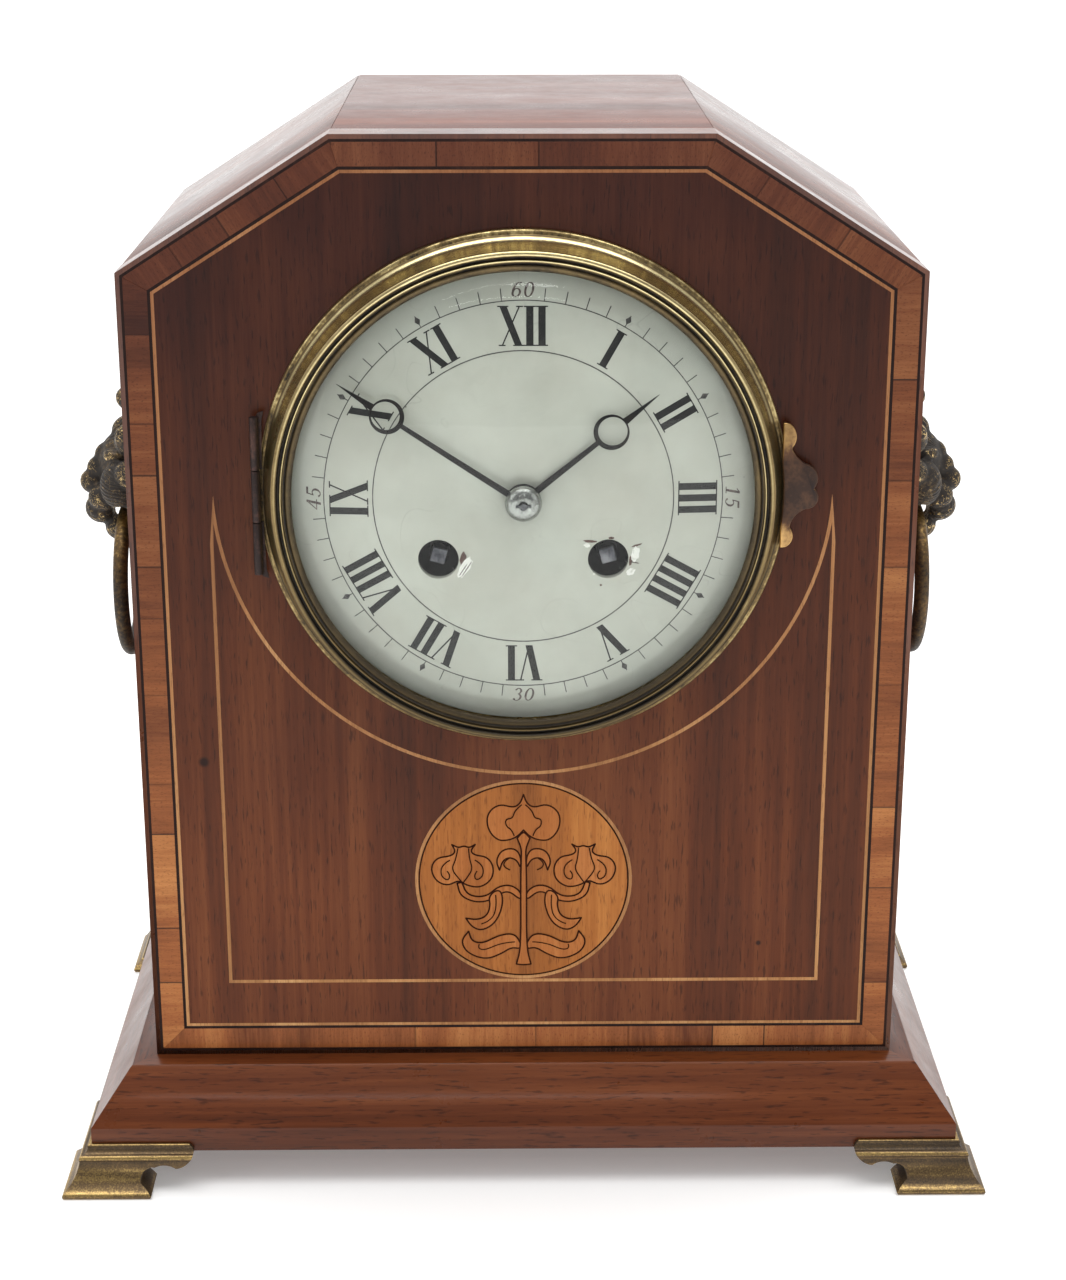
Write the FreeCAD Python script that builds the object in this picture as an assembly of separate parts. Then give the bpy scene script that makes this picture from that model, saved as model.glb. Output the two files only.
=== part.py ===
"""Bracket clock: hexagonal inlaid mahogany case on ogee bracket feet, with a two-train round movement.

Units are millimetres. +Z is up, the dial faces -Y, and the origin is on the floor at the middle of the
bounding box. Pieces are drawn with Y measured backwards from the face of the case, and are moved to
the origin when they are saved. Each piece is saved as parts/NODE.step.
"""
import FreeCAD
import Part
import os
from math import atan2, cos, degrees, hypot, pi, radians, sin, sqrt

V = FreeCAD.Vector
Y_AXIS = V(0, 1, 0)

# --- Overall ---------------------------------------------------------------------------------------
FRONT_TIP = -26.7            # toes of the front feet, in front of the case's face
BACK_TIP = 157.7             # knob of the back door, behind the case's face
CASE_FACE_Y = -(FRONT_TIP + BACK_TIP) / 2

# --- Wooden case -----------------------------------------------------------------------------------
CASE_HALF_WIDTH = 112.5
CASE_BOTTOM = 34.8
SHOULDER_HEIGHT = 275.7
CASE_TOP = 313.4
TOP_HALF_WIDTH = 52.9
CASE_DEPTH = 154.0
BOARD = 9.0                  # thickness of the side, shoulder, top and floor boards
FRONT_BOARD = 11.0           # pine front behind the veneer
VENEER = 1.0
BACK_BOARD = 8.0
EDGE_LINE = 1.3              # widths of the border, from the outer edge inwards
DARK_LINE = 1.0
CROSSBAND = 6.3
INNER_LINE = 0.9
CROSSBAND_STARTS = (EDGE_LINE + DARK_LINE, EDGE_LINE + DARK_LINE + CROSSBAND)
STRING_WIDTH = 1.0
STRING_X = 88.9              # upright strings of the apron panel
STRING_BOTTOM = 59.4
STRING_TIP = 212.0
STRING_ARC_Z = 215.6
STRING_ARC_RADIUS = 88.5
ROUNDEL_Z = 92.5
ROUNDEL_RADIUS = 32.5

# --- Plinth and feet -------------------------------------------------------------------------------
PLINTH_BOTTOM = 11.9
PLINTH_BAND_TOP = 19.5
PLINTH_LEDGE = 7.2           # how far the plinth's top ledge stands out from the case
PLINTH_OUT = 18.3            # how far its upright band stands out
PLINTH_RAIL = 24.0           # how far each rail reaches in under the case
FOOT_TOP = 14.7
FOOT_OUT = 8.4               # toe beyond the plinth band
FOOT_IN = 5.0                # casting under the plinth
FOOT_ARM = 39.3              # length of each arm from the toe's corner
FOOT_PAD = 26.8              # length of the pad on the floor
FOOT_BACK = CASE_DEPTH - 1.5 # back face of the rear feet
SCREW_SHANK = 1.2

# --- Dial and its furniture ------------------------------------------------------------------------
DIAL_Z = 213.0
DIAL_RADIUS = 66.3
DIAL_FRONT = -8.3            # crown of the enamel
DIAL_SPHERE = 624.0
DIAL_THICK = 1.7
WINDING_X = 24.0
WINDING_DROP = 17.5
WINDING_HOLE = 5.75
SEAT_RADIUS = 75.0
SEAT_FLANGE = 2.2
SEAT_BORE = 64.6
SEAT_BARREL = 68.4
SEAT_DEPTH = 18.0
BEZEL_RADIUS = 73.6
BEZEL_RIDGE = 70.0
BEZEL_OPENING = 64.9
BEZEL_FRONT = -12.6
BEZEL_BACK = -2.4
GLASS_APEX = -20.9
GLASS_THICK = 1.4
HINGE_X = -75.3
HINGE_Y = -3.9
HINGE_RADIUS = 1.3
HINGE_LENGTH = 46.0
HINGE_PIN = 0.55

# --- Movement --------------------------------------------------------------------------------------
PLATE_RADIUS = 50.0
PLATE_THICK = 2.0
FRONT_PLATE_Y = 6.0
TOOTH_TIP = 0.6              # of the module, beyond the pitch circle
TOOTH_ROOT = 1.2             # of the module, inside the pitch circle
BACK_PLATE_Y = 46.0
PIVOT = 1.0                  # radius of every train arbor
PIVOT_PLAY = 0.05
ARBOR_RADIUS = 3.0           # winding arbors
KEY_SQUARE = 4.2             # across the flats of the winding squares
GOING_SQUARE_TURN = -15.0    # how far each square stands turned, as in the photograph
STRIKE_SQUARE_TURN = 15.0
RATCHET_TEETH = 18
RATCHET_RADIUS = 8.0
RATCHET_TOOTH = 1.1
BARREL_RADIUS = 17.2
HOUR_ANGLE = 51.0            # clockwise from twelve, as in the photograph
MINUTE_ANGLE = 303.0
HOUR_HAND_Y = -9.5
MINUTE_HAND_Y = -12.2
MINUTE_HAND_SPHERE = 640.0   # the minute hand is bowed to follow the dial
HAND_THICK = 0.7

# Wheel centres, measured from the dial's centre as (x, z)
GOING_BARREL_AT = (WINDING_X, -WINDING_DROP)
STRIKE_BARREL_AT = (-WINDING_X, -WINDING_DROP)
SECOND_AT = (17.27, 2.80)
THIRD_AT = (6.27, 16.39)
ESCAPE_AT = (0.0, 31.5)
ANCHOR_AT = (0.0, 44.3)
STRIKE_SECOND_AT = (-19.2, 3.34)
PIN_WHEEL_AT = (-25.0, 19.1)
LOCKING_AT = (-11.8, 24.1)
FLY_AT = (-12.74, 34.86)
HAMMER_AT = (-40.5, 7.0)
LOCKING_LEVER_AT = (-38.5, 25.5)
LIFTING_LEVER_AT = (-41.5, 12.0)
LIFTING_PIN_AT = (-27.5, 8.1)
MINUTE_WHEEL_AT = (0.0, 12.0)
PILLAR_ANGLES = (5, 62, 125, 183, 262)
PILLAR_CIRCLE = 45.0
DIAL_FOOT_ANGLES = (30, 150, 270)
DIAL_FOOT_CIRCLE = 41.0

# Counts of teeth: each wheel with the pinion that it drives
GREAT_TEETH, SECOND_PINION = 72, 9
GREAT_RADIUS = 19.0
SECOND_TEETH, CENTRE_PINION = 60, 10
CENTRE_TEETH, THIRD_PINION = 72, 6
THIRD_TEETH, ESCAPE_PINION = 72, 6
ESCAPE_TEETH = 36
ESCAPE_RADIUS = 9.5
STRIKE_SECOND_TEETH, PIN_PINION = 72, 8
PIN_TEETH, LOCKING_PINION = 60, 6
LOCKING_TEETH, FLY_PINION = 48, 6
CANNON_TEETH, MINUTE_TEETH = 12, 36
MINUTE_PINION, HOUR_TEETH = 10, 40
HAMMER_PINS = 10
COUNT_RADIUS = 12.6
BLOWS_IN_TWELVE_HOURS = 90

# Depths of the front of each wheel, and of both ends of each pinion
GREAT_Y = 26.1
SECOND_Y, SECOND_PINION_Y = 31.0, (25.4, 29.4)
CENTRE_Y, CENTRE_PINION_Y = 36.0, (30.0, 33.6)
THIRD_Y, THIRD_PINION_Y = 39.9, (34.8, 38.6)
ESCAPE_Y, ESCAPE_PINION_Y = 43.0, (38.9, 42.2)
PIN_Y, PIN_PINION_Y = 36.0, (29.8, 33.6)
LOCKING_Y, LOCKING_PINION_Y = 33.0, (34.9, 38.6)
FLY_PINION_Y = (32.0, 35.4)
WHEEL_THICK = 1.3

# --- Pendulum, hammer and bell ---------------------------------------------------------------------
PENDULUM_LENGTH = 121.0      # anchor's axis to the middle of the bob
BOB_RADIUS = 20.0
BELL_RADIUS = 32.0
BELL_AT = (0.0, -4.0)
BELL_MOUTH_Y = 60.0
BELL_CROWN_Y = 80.0

# --- Back door -------------------------------------------------------------------------------------
BACK_BORE = 56.2
BACK_BARREL = 58.0
BACK_FLANGE_RADIUS = 67.0
BACK_DOOR_RADIUS = 58.4
BACK_HINGE_X = -60.6
STRAP_TURNS = (20.0, 200.0)  # the two long straps, measured from level
STRAP_SCREW = 1.5

# --- Lion-mask handles -----------------------------------------------------------------------------
MASK_Y = 79.0
MASK_Z = 202.0
MASK_RADIUS = 24.0
RING_PIVOT_Z = 186.0
RING_OUT = 12.4              # ring's plane, out from the case side
RING_MEAN_RADIUS = 22.5
RING_WIRE = 2.35
MOUTH_RADIUS = 4.9


# --- Helpers ---------------------------------------------------------------------------------------
def save(name, shape):
    """Move a finished piece to the origin and write it under its node name."""
    moved = shape.copy()
    moved.translate(V(0, CASE_FACE_Y, 0))
    moved.exportStep(os.path.join("parts", name + ".step"))
    print(f"{name}: {len(moved.Solids)} solid(s), {moved.Volume:.1f} mm3, valid {moved.isValid()}")


def group(pieces):
    return Part.makeCompound(list(pieces))


def union(pieces):
    first, *rest = pieces
    return first.fuse(rest).removeSplitter() if rest else first


def at_dial(point):
    """A place on the movement, given from the dial's centre, as (x, z) of the clock."""
    return point[0], DIAL_Z + point[1]


def apart(a, b):
    """Distance between two arbors."""
    return hypot(b[0] - a[0], b[1] - a[1])


def rod_y(x, z, radius, y0, y1):
    return Part.makeCylinder(radius, y1 - y0, V(x, y0, z), Y_AXIS)


def tube_y(x, z, outer, inner, y0, y1):
    return rod_y(x, z, outer, y0, y1).cut(rod_y(x, z, inner, y0, y1))


def plate_y(points, y0, y1):
    """A plate with a straight-sided outline of (x, z) points, from depth y0 to y1."""
    corners = [V(x, y0, z) for x, z in points]
    face = Part.Face(Part.makePolygon(corners + corners[:1]))
    return face.extrude(V(0, y1 - y0, 0))


def bar(start, end, start_half, end_half, y0, y1):
    """Flat tapered lever arm between two places on the movement."""
    length = apart(start, end)
    nx, nz = (start[1] - end[1]) / length, (end[0] - start[0]) / length
    (ax, az), (bx, bz) = at_dial(start), at_dial(end)
    corners = [
        (ax + nx * start_half, az + nz * start_half),
        (bx + nx * end_half, bz + nz * end_half),
        (bx - nx * end_half, bz - nz * end_half),
        (ax - nx * start_half, az - nz * start_half),
    ]
    return plate_y(corners, y0, y1)


def box(x0, x1, y0, y1, z0, z1):
    return Part.makeBox(x1 - x0, y1 - y0, z1 - z0, V(x0, y0, z0))


def outline_edges(steps, place):
    """Edges through steps; a step of two points is an arc through its first point to its second."""
    edges = []
    start = place(*steps[0])
    here = start
    for step in steps[1:] + steps[:1]:
        if isinstance(step[0], tuple):
            middle, end = place(*step[0]), place(*step[1])
            edges.append(Part.Arc(here, middle, end).toShape())
        else:
            end = place(*step)
            edges.append(Part.LineSegment(here, end).toShape())
        here = end
    return edges


def turned(steps, x, z):
    """A piece turned about an axis along Y, from its (radius, depth) outline."""
    face = Part.Face(Part.Wire(outline_edges(steps, lambda r, y: V(x + r, y, z))))
    return face.revolve(V(x, 0, z), Y_AXIS, 360)


def polar(radius, angle):
    """(x, z) of a point at an angle in degrees, measured from +X towards +Z."""
    return radius * cos(radians(angle)), radius * sin(radians(angle))


def crossing(p, q, r, s):
    """Where the line through p and q meets the line through r and s."""
    d1 = (q[0] - p[0], q[1] - p[1])
    d2 = (s[0] - r[0], s[1] - r[1])
    scale = ((r[0] - p[0]) * d2[1] - (r[1] - p[1]) * d2[0]) / (d1[0] * d2[1] - d1[1] * d2[0])
    return p[0] + d1[0] * scale, p[1] + d1[1] * scale


def case_outline(inset=0.0):
    """The six corners of the case front, clockwise from the bottom left, moved inwards by inset."""
    corners = [
        (-CASE_HALF_WIDTH, CASE_BOTTOM),
        (-CASE_HALF_WIDTH, SHOULDER_HEIGHT),
        (-TOP_HALF_WIDTH, CASE_TOP),
        (TOP_HALF_WIDTH, CASE_TOP),
        (CASE_HALF_WIDTH, SHOULDER_HEIGHT),
        (CASE_HALF_WIDTH, CASE_BOTTOM),
    ]
    if not inset:
        return corners
    sides = []
    for a, b in zip(corners, corners[1:] + corners[:1]):
        length = hypot(b[0] - a[0], b[1] - a[1])
        nx, nz = (b[1] - a[1]) / length * inset, -(b[0] - a[0]) / length * inset
        sides.append(((a[0] + nx, a[1] + nz), (b[0] + nx, b[1] + nz)))
    return [crossing(*sides[i - 1], *sides[i]) for i in range(6)]


def mitred_band(outer_inset, inner_inset, y0, y1):
    """The six mitred strips between two insets of the case outline, in corner order."""
    outer, inner = case_outline(outer_inset), case_outline(inner_inset)
    strips = []
    for i in range(6):
        j = (i + 1) % 6
        strips.append(plate_y([outer[i], outer[j], inner[j], inner[i]], y0, y1))
    return strips


# --- Wooden case -----------------------------------------------------------------------------------
def case_boards():
    left, left_shoulder, top, right_shoulder, right, floor = mitred_band(
        0, BOARD, VENEER + FRONT_BOARD, CASE_DEPTH
    )
    save("top_board", top)
    save("case_floor", floor)
    save("side_boards", group([left, right]))
    save("shoulder_boards", group([left_shoulder, right_shoulder]))


def front_panel():
    board = plate_y(case_outline(), VENEER, VENEER + FRONT_BOARD)
    save("front_panel", board.cut(rod_y(0, DIAL_Z, SEAT_BARREL + 0.1, 0, 20)))


def back_panel():
    board = plate_y(case_outline(BOARD), CASE_DEPTH - BACK_BOARD, CASE_DEPTH)
    hole = rod_y(0, DIAL_Z, BACK_BARREL + 0.2, 100, 200)
    screw_holes = [rod_y(*strap_screw_at(turn), STRAP_SCREW + 0.1, 100, 200) for turn in STRAP_TURNS]
    save("back_panel", board.cut([hole] + screw_holes))


def apron_regions():
    """The apron panel's outer and inner outlines as plates; the string is what lies between."""
    regions = []
    for grow in (STRING_WIDTH / 2, -STRING_WIDTH / 2):
        x, z0 = STRING_X + grow, STRING_BOTTOM - grow
        radius = STRING_ARC_RADIUS - grow
        taper = STRING_TIP - 14
        tip = STRING_X - 0.9
        left = [(-x, z0), (-x, taper), (-tip, STRING_TIP)]
        right = [(tip, STRING_TIP), (x, taper), (x, z0)]
        field = plate_y(left + right, 0, VENEER)
        regions.append(field.cut(rod_y(0, STRING_ARC_Z, radius, -1, 2)))
    return regions


def inlay():
    ebony_starts = (EDGE_LINE, CROSSBAND_STARTS[1])
    inner_start = CROSSBAND_STARTS[1] + DARK_LINE
    field_inset = inner_start + INNER_LINE
    save("crossbanding", group(mitred_band(*CROSSBAND_STARTS, 0, VENEER)))
    ebony = [strip for start in ebony_starts for strip in mitred_band(start, start + DARK_LINE, 0, VENEER)]
    save("ebony_lines", group(ebony))
    lines = mitred_band(0, EDGE_LINE, 0, VENEER) + mitred_band(inner_start, field_inset, 0, VENEER)
    ring = tube_y(0, ROUNDEL_Z, ROUNDEL_RADIUS, ROUNDEL_RADIUS - STRING_WIDTH, 0, VENEER)
    outer, inner = apron_regions()
    string = outer.cut(inner)
    save("boxwood_lines", group(lines + [ring, string]))
    save("roundel", rod_y(0, ROUNDEL_Z, ROUNDEL_RADIUS - STRING_WIDTH, 0, VENEER))
    field = plate_y(case_outline(field_inset), 0, VENEER)
    dial_hole = rod_y(0, DIAL_Z, SEAT_BARREL + 0.1, -1, 2)
    roundel_hole = rod_y(0, ROUNDEL_Z, ROUNDEL_RADIUS, -1, 2)
    save("field_veneer", field.cut([string, dial_hole, roundel_hole]))


def plinth_section(place):
    """The bevelled moulding as a wire; place turns (distance out from the case, height) into a point."""
    profile = [
        (-PLINTH_RAIL, PLINTH_BOTTOM),
        (PLINTH_OUT, PLINTH_BOTTOM),
        (PLINTH_OUT, PLINTH_BAND_TOP),
        (PLINTH_LEDGE, CASE_BOTTOM - 0.6),
        (PLINTH_LEDGE - 0.6, CASE_BOTTOM),
        (-PLINTH_RAIL, CASE_BOTTOM),
    ]
    corners = [place(out, z) for out, z in profile]
    return Part.Face(Part.makePolygon(corners + corners[:1]))


def plinth():
    """Front and side mouldings mitred at the front corners, and a plain back rail, drilled for the feet."""
    reach = CASE_HALF_WIDTH + PLINTH_OUT
    front = plinth_section(lambda out, z: V(-reach, -out, z)).extrude(V(2 * reach, 0, 0))
    wedge = [(-reach, -PLINTH_OUT), (reach, -PLINTH_OUT)]
    inner = CASE_HALF_WIDTH - PLINTH_RAIL
    wedge += [(inner, PLINTH_RAIL), (-inner, PLINTH_RAIL)]
    corners = [V(x, y, 0) for x, y in wedge]
    front_zone = Part.Face(Part.makePolygon(corners + corners[:1])).extrude(V(0, 0, 40))
    rails = [front.common(front_zone)]
    for side in (-1, 1):

        def beside(out, z):
            return V(side * (CASE_HALF_WIDTH + out), -PLINTH_OUT, z)

        rail = plinth_section(beside).extrude(V(0, CASE_DEPTH + PLINTH_OUT, 0))
        rails.append(rail.cut(front_zone))
    rails.append(box(-inner, inner, CASE_DEPTH - PLINTH_RAIL, CASE_DEPTH, PLINTH_BOTTOM, CASE_BOTTOM))
    holes = [Part.makeCylinder(SCREW_SHANK, 8.0, V(x, y, PLINTH_BOTTOM - 1)) for x, y in foot_screw_places()]
    save("plinth", group([rail.cut(holes) for rail in rails]))


# --- Feet ------------------------------------------------------------------------------------------
def foot_section(place):
    """Ogee foot moulding: lip against the plinth, bead, hollow neck and flared toe."""
    steps = [
        (-FOOT_IN, 0.0),
        (7.9, 0.0),
        ((FOOT_OUT, 0.9), (7.7, 2.1)),
        ((5.2, 5.2), (3.4, 10.2)),
        ((3.3, 11.6), (2.2, 12.0)),
        ((1.3, 12.9), (1.2, 14.1)),
        ((0.9, 14.6), (0.3, FOOT_TOP)),
        (0.02, FOOT_TOP),
        (0.02, PLINTH_BOTTOM - 0.02),
        (-FOOT_IN, PLINTH_BOTTOM - 0.02),
    ]
    return Part.Face(Part.Wire(outline_edges(steps, place)))


def foot_arm_outline(place):
    """Side view of an arm: pad on the floor, cusped hollow and leaf-shaped end under the plinth."""
    steps = [
        (0.0, -1.0),
        (FOOT_PAD - 1.0, -1.0),
        (FOOT_PAD, 1.0),
        ((FOOT_PAD - 1.4, 2.6), (23.4, 4.2)),
        ((24.0, 6.9), (27.5, 8.3)),
        ((31.0, 8.9), (34.0, 7.9)),
        ((38.0, 9.9), (FOOT_ARM, 12.4)),
        ((38.6, 14.0), (35.0, FOOT_TOP + 0.4)),
        (0.0, FOOT_TOP + 0.4),
    ]
    return Part.Face(Part.Wire(outline_edges(steps, place)))


def foot_arm():
    """One arm of a foot, running along +X from the corner, with its moulded side to -Y."""
    length = FOOT_ARM + 1
    moulding = foot_section(lambda out, z: V(0, -out, z)).extrude(V(length, 0, 0))
    side_view = foot_arm_outline(lambda s, z: V(s, -FOOT_OUT - 1, z))
    arm = moulding.common(side_view.extrude(V(0, FOOT_OUT + FOOT_IN + 2, 0)))
    far = 60.0
    corners = [V(0, -FOOT_OUT, -1), V(far, -FOOT_OUT, -1), V(far, far - FOOT_OUT, -1)]
    mitre = Part.Face(Part.makePolygon(corners + corners[:1])).extrude(V(0, 0, 30))
    return arm.common(mitre)


def front_foot():
    """Left front foot with its toe corner at the origin corner of the plinth band."""
    arm = foot_arm()
    other = arm.mirror(V(0, -FOOT_OUT, 0), V(1, -1, 0))
    lug = plate_lug(22.0)
    return union([arm, other, lug])


def plate_lug(size):
    """Triangular fixing plate inside the corner, with the two screw holes."""
    a, b = FOOT_OUT + FOOT_IN - 1.0, FOOT_IN - 1.0
    corners = [V(a, b, 8.9), V(a + size, b, 8.9), V(a, b + size, 8.9)]
    plate = Part.Face(Part.makePolygon(corners + corners[:1])).extrude(V(0, 0, PLINTH_BOTTOM - 0.02 - 8.9))
    holes = [Part.makeCylinder(1.3, 6, V(x, y, 8)) for x, y in lug_holes()]
    return plate.cut(holes)


def lug_holes():
    a, b = FOOT_OUT + FOOT_IN, FOOT_IN
    return [(a + 12.5, b + 3.2), (a + 3.2, b + 12.5)]


def feet():
    """Four cast feet; the back pair end flat at the case's back."""
    corner_x = -(CASE_HALF_WIDTH + PLINTH_OUT + FOOT_OUT)
    foot = front_foot()
    foot.translate(V(corner_x, -PLINTH_OUT, 0))
    save("foot_front_left", foot)
    save("foot_front_right", foot.mirror(V(0, 0, 0), V(1, 0, 0)))
    arm = foot_arm().mirror(V(0, -FOOT_OUT, 0), V(1, -1, 0))
    arm = arm.mirror(V(0, 0, 0), Y_AXIS)
    arm.translate(V(corner_x, FOOT_BACK - FOOT_OUT, 0))
    square = foot_section(lambda out, z: V(-out + FOOT_OUT, 0, z)).extrude(V(0, -16, 0))
    square.translate(V(corner_x, FOOT_BACK, 0))
    lug = plate_lug(22.0).mirror(V(0, 0, 0), Y_AXIS)
    lug.translate(V(corner_x, FOOT_BACK, 0))
    web = box(corner_x + FOOT_OUT, corner_x + FOOT_PAD, FOOT_BACK - 4, FOOT_BACK, 0, PLINTH_BOTTOM - 0.02)
    rear = union([arm, square, lug, web])
    save("foot_rear_left", rear)
    save("foot_rear_right", rear.mirror(V(0, 0, 0), V(1, 0, 0)))


def foot_screw_places():
    """(x, y) of the two screws of each foot that go up into the plinth."""
    corner_x = -(CASE_HALF_WIDTH + PLINTH_OUT + FOOT_OUT)
    places = []
    for side in (-1, 1):
        for x, y in lug_holes():
            for place_y in (y - PLINTH_OUT, FOOT_BACK - y):
                places.append((side * (corner_x + x), place_y))
    return places


def wood_screw(x, y):
    """Countersunk screw up through a foot's fixing plate."""
    head = Part.makeCone(2.2, SCREW_SHANK, 1.0, V(x, y, 7.9))
    shank = Part.makeCylinder(SCREW_SHANK, 9.9, V(x, y, 8.9))
    return head.fuse(shank)


# --- Dial and its furniture ------------------------------------------------------------------------
def bezel_seat():
    """Fixed brass ring: flange on the case, barrel through it, inner flange for the movement, hinge pin."""
    steps = [
        (SEAT_BORE, -3.1),
        (SEAT_BARREL, -3.1),
        (SEAT_BARREL, -SEAT_FLANGE),
        (SEAT_RADIUS - 0.6, -SEAT_FLANGE),
        (SEAT_RADIUS, -SEAT_FLANGE + 0.7),
        (SEAT_RADIUS, 0),
        (SEAT_BARREL, 0),
        (SEAT_BARREL, SEAT_DEPTH),
        (SEAT_BORE, SEAT_DEPTH),
        (SEAT_BORE, FRONT_PLATE_Y),
        (47.0, FRONT_PLATE_Y),
        (47.0, FRONT_PLATE_Y - 1.6),
        (SEAT_BORE, FRONT_PLATE_Y - 1.6),
    ]
    seat = turned(steps, 0, DIAL_Z)
    half_gap = HINGE_LENGTH / 6
    knuckles = []
    for sign in (-1, 1):
        z = DIAL_Z + sign * 2 * half_gap
        knuckles.append(knuckle(z - half_gap, z + half_gap))
    room = Part.makeCylinder(HINGE_RADIUS + 0.25, 2 * half_gap, V(HINGE_X, HINGE_Y, DIAL_Z - half_gap))
    seat = union([seat] + knuckles).cut(room)
    save("bezel_seat", union([seat, hinge_pin(HINGE_PIN)]))


def knuckle(z0, z1):
    barrel = Part.makeCylinder(HINGE_RADIUS, z1 - z0, V(HINGE_X, HINGE_Y, z0))
    leaf = box(HINGE_X - 0.5, HINGE_X + 1.0, HINGE_Y, -0.2, z0, z1)
    return barrel.fuse(leaf)


def hinge_pin(radius):
    length = HINGE_LENGTH + 1.0
    return Part.makeCylinder(radius, length, V(HINGE_X, HINGE_Y, DIAL_Z - length / 2))


def bezel():
    """Hinged brass bezel: hollow rim, rounded ridge, stepped slope down to the glass, and one knuckle."""
    steps = [
        (69.4, BEZEL_BACK),
        (BEZEL_RADIUS, BEZEL_BACK),
        ((71.2, -6.2), (BEZEL_RIDGE + 0.7, -11.2)),
        (BEZEL_RIDGE, BEZEL_FRONT),
        (BEZEL_RIDGE - 0.9, BEZEL_FRONT),
        (68.6, -11.5),
        (67.5, -12.0),
        (66.7, -11.4),
        (BEZEL_OPENING, -11.0),
        (BEZEL_OPENING, -10.2),
        (69.4, -10.2),
    ]
    ring = turned(steps, 0, DIAL_Z)
    half = HINGE_LENGTH / 6 - 0.15
    barrel = Part.makeCylinder(HINGE_RADIUS, 2 * half, V(HINGE_X, HINGE_Y, DIAL_Z - half))
    leaf = box(HINGE_X, -70.5, HINGE_Y - HINGE_RADIUS, HINGE_Y - 0.2, DIAL_Z - half, DIAL_Z + half)
    inner = rod_y(0, DIAL_Z, 69.5, -9, 0)
    piece = union([ring, barrel, leaf.cut(inner)])
    room = []
    for sign in (-1, 1):
        z = DIAL_Z + sign * HINGE_LENGTH / 3
        foot = V(HINGE_X, HINGE_Y, z - HINGE_LENGTH / 6 - 0.15)
        room.append(Part.makeCylinder(HINGE_RADIUS + 0.3, HINGE_LENGTH / 3 + 0.3, foot))
    save("bezel", piece.cut(room + [hinge_pin(HINGE_PIN + PIVOT_PLAY)]))


def bezel_tab():
    """Leaf-shaped finger tab on the right of the bezel."""
    steps = [
        (73.0, 21.0),
        (74.8, 20.6),
        ((76.6, 18.2), (75.6, 13.6)),
        ((77.0, 11.2), (79.6, 9.0)),
        ((82.9, 6.2), (82.2, 1.8)),
        ((83.4, -1.6), (80.0, -4.2)),
        ((77.0, -6.4), (75.6, -9.6)),
        ((76.6, -12.6), (74.6, -15.4)),
        (73.0, -15.6),
    ]
    face = Part.Face(Part.Wire(outline_edges(steps, lambda x, z: V(x, BEZEL_BACK - 0.1, DIAL_Z + z))))
    tab = face.extrude(V(0, -1.8, 0))
    save("bezel_tab", tab.cut(rod_y(0, DIAL_Z, BEZEL_RADIUS - 0.02, -12, 0)))


def glass():
    """Domed glass with a flat rim that lies behind the bezel's lip."""
    rim_y = -10.15
    dome = BEZEL_OPENING - 0.4
    hollow = dome - 1.5
    steps = [
        (0, GLASS_APEX),
        (bow_point(dome, GLASS_APEX, rim_y), (dome, rim_y)),
        (68.8, rim_y),
        (68.8, rim_y + GLASS_THICK),
        (hollow, rim_y + GLASS_THICK),
        (bow_point(hollow, GLASS_APEX + GLASS_THICK, rim_y + GLASS_THICK), (0, GLASS_APEX + GLASS_THICK)),
    ]
    save("glass", turned(steps, 0, DIAL_Z))


def bow_point(radius, crown, rim):
    """Half-way point of the arc from the crown on the axis to the rim at that radius."""
    rise = rim - crown
    sphere = (radius * radius + rise * rise) / (2 * rise)
    half = radius / 2
    return half, crown + sphere - sqrt(sphere * sphere - half * half)


def dial():
    """Convex enamelled dial with centre and winding holes and three feet."""
    edge_y = DIAL_FRONT + DIAL_SPHERE - sqrt(DIAL_SPHERE ** 2 - DIAL_RADIUS ** 2)
    back = DIAL_FRONT + DIAL_THICK
    steps = [
        (0, DIAL_FRONT),
        (bow_point(DIAL_RADIUS, DIAL_FRONT, edge_y), (DIAL_RADIUS, edge_y)),
        (DIAL_RADIUS, edge_y + DIAL_THICK),
        (0, back),
    ]
    plate = turned(steps, 0, DIAL_Z)
    feet = []
    for angle in DIAL_FOOT_ANGLES:
        x, z = at_dial(polar(DIAL_FOOT_CIRCLE, angle))
        feet.append(rod_y(x, z, 1.1, back + 1.0, FRONT_PLATE_Y + 3.2))
    holes = [rod_y(0, DIAL_Z, 4.2, -12, 0)]
    for side in (-1, 1):
        holes.append(rod_y(side * WINDING_X, DIAL_Z - WINDING_DROP, WINDING_HOLE, -12, 0))
    save("dial", union([plate.cut(holes)] + feet))


# --- Hands and motion work -------------------------------------------------------------------------
def hand_outline(angle, ring_at, ring_outer, hole, hole_shift, tip, boss, y0, y1):
    """Moon hand: boss, tapering shaft, eccentric ring and pointed tip, flat between two depths."""
    x, z = 0, DIAL_Z

    def place(out, across):
        rad = radians(angle)
        return x + out * sin(rad) + across * cos(rad), z + out * cos(rad) - across * sin(rad)

    shaft = plate_y([place(0, -0.95), place(ring_at, -0.6), place(ring_at, 0.6), place(0, 0.95)], y0, y1)
    root = ring_at + ring_outer - 0.7
    point = plate_y([place(root, -1.0), place(tip, 0), place(root, 1.0)], y0, y1)
    ring = rod_y(*place(ring_at, 0), ring_outer, y0, y1)
    solid = union([rod_y(x, z, boss, y0, y1), shaft, point, ring])
    return solid.cut(rod_y(*place(ring_at + hole_shift, 0), hole, y0 - 1, y1 + 1))


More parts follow.
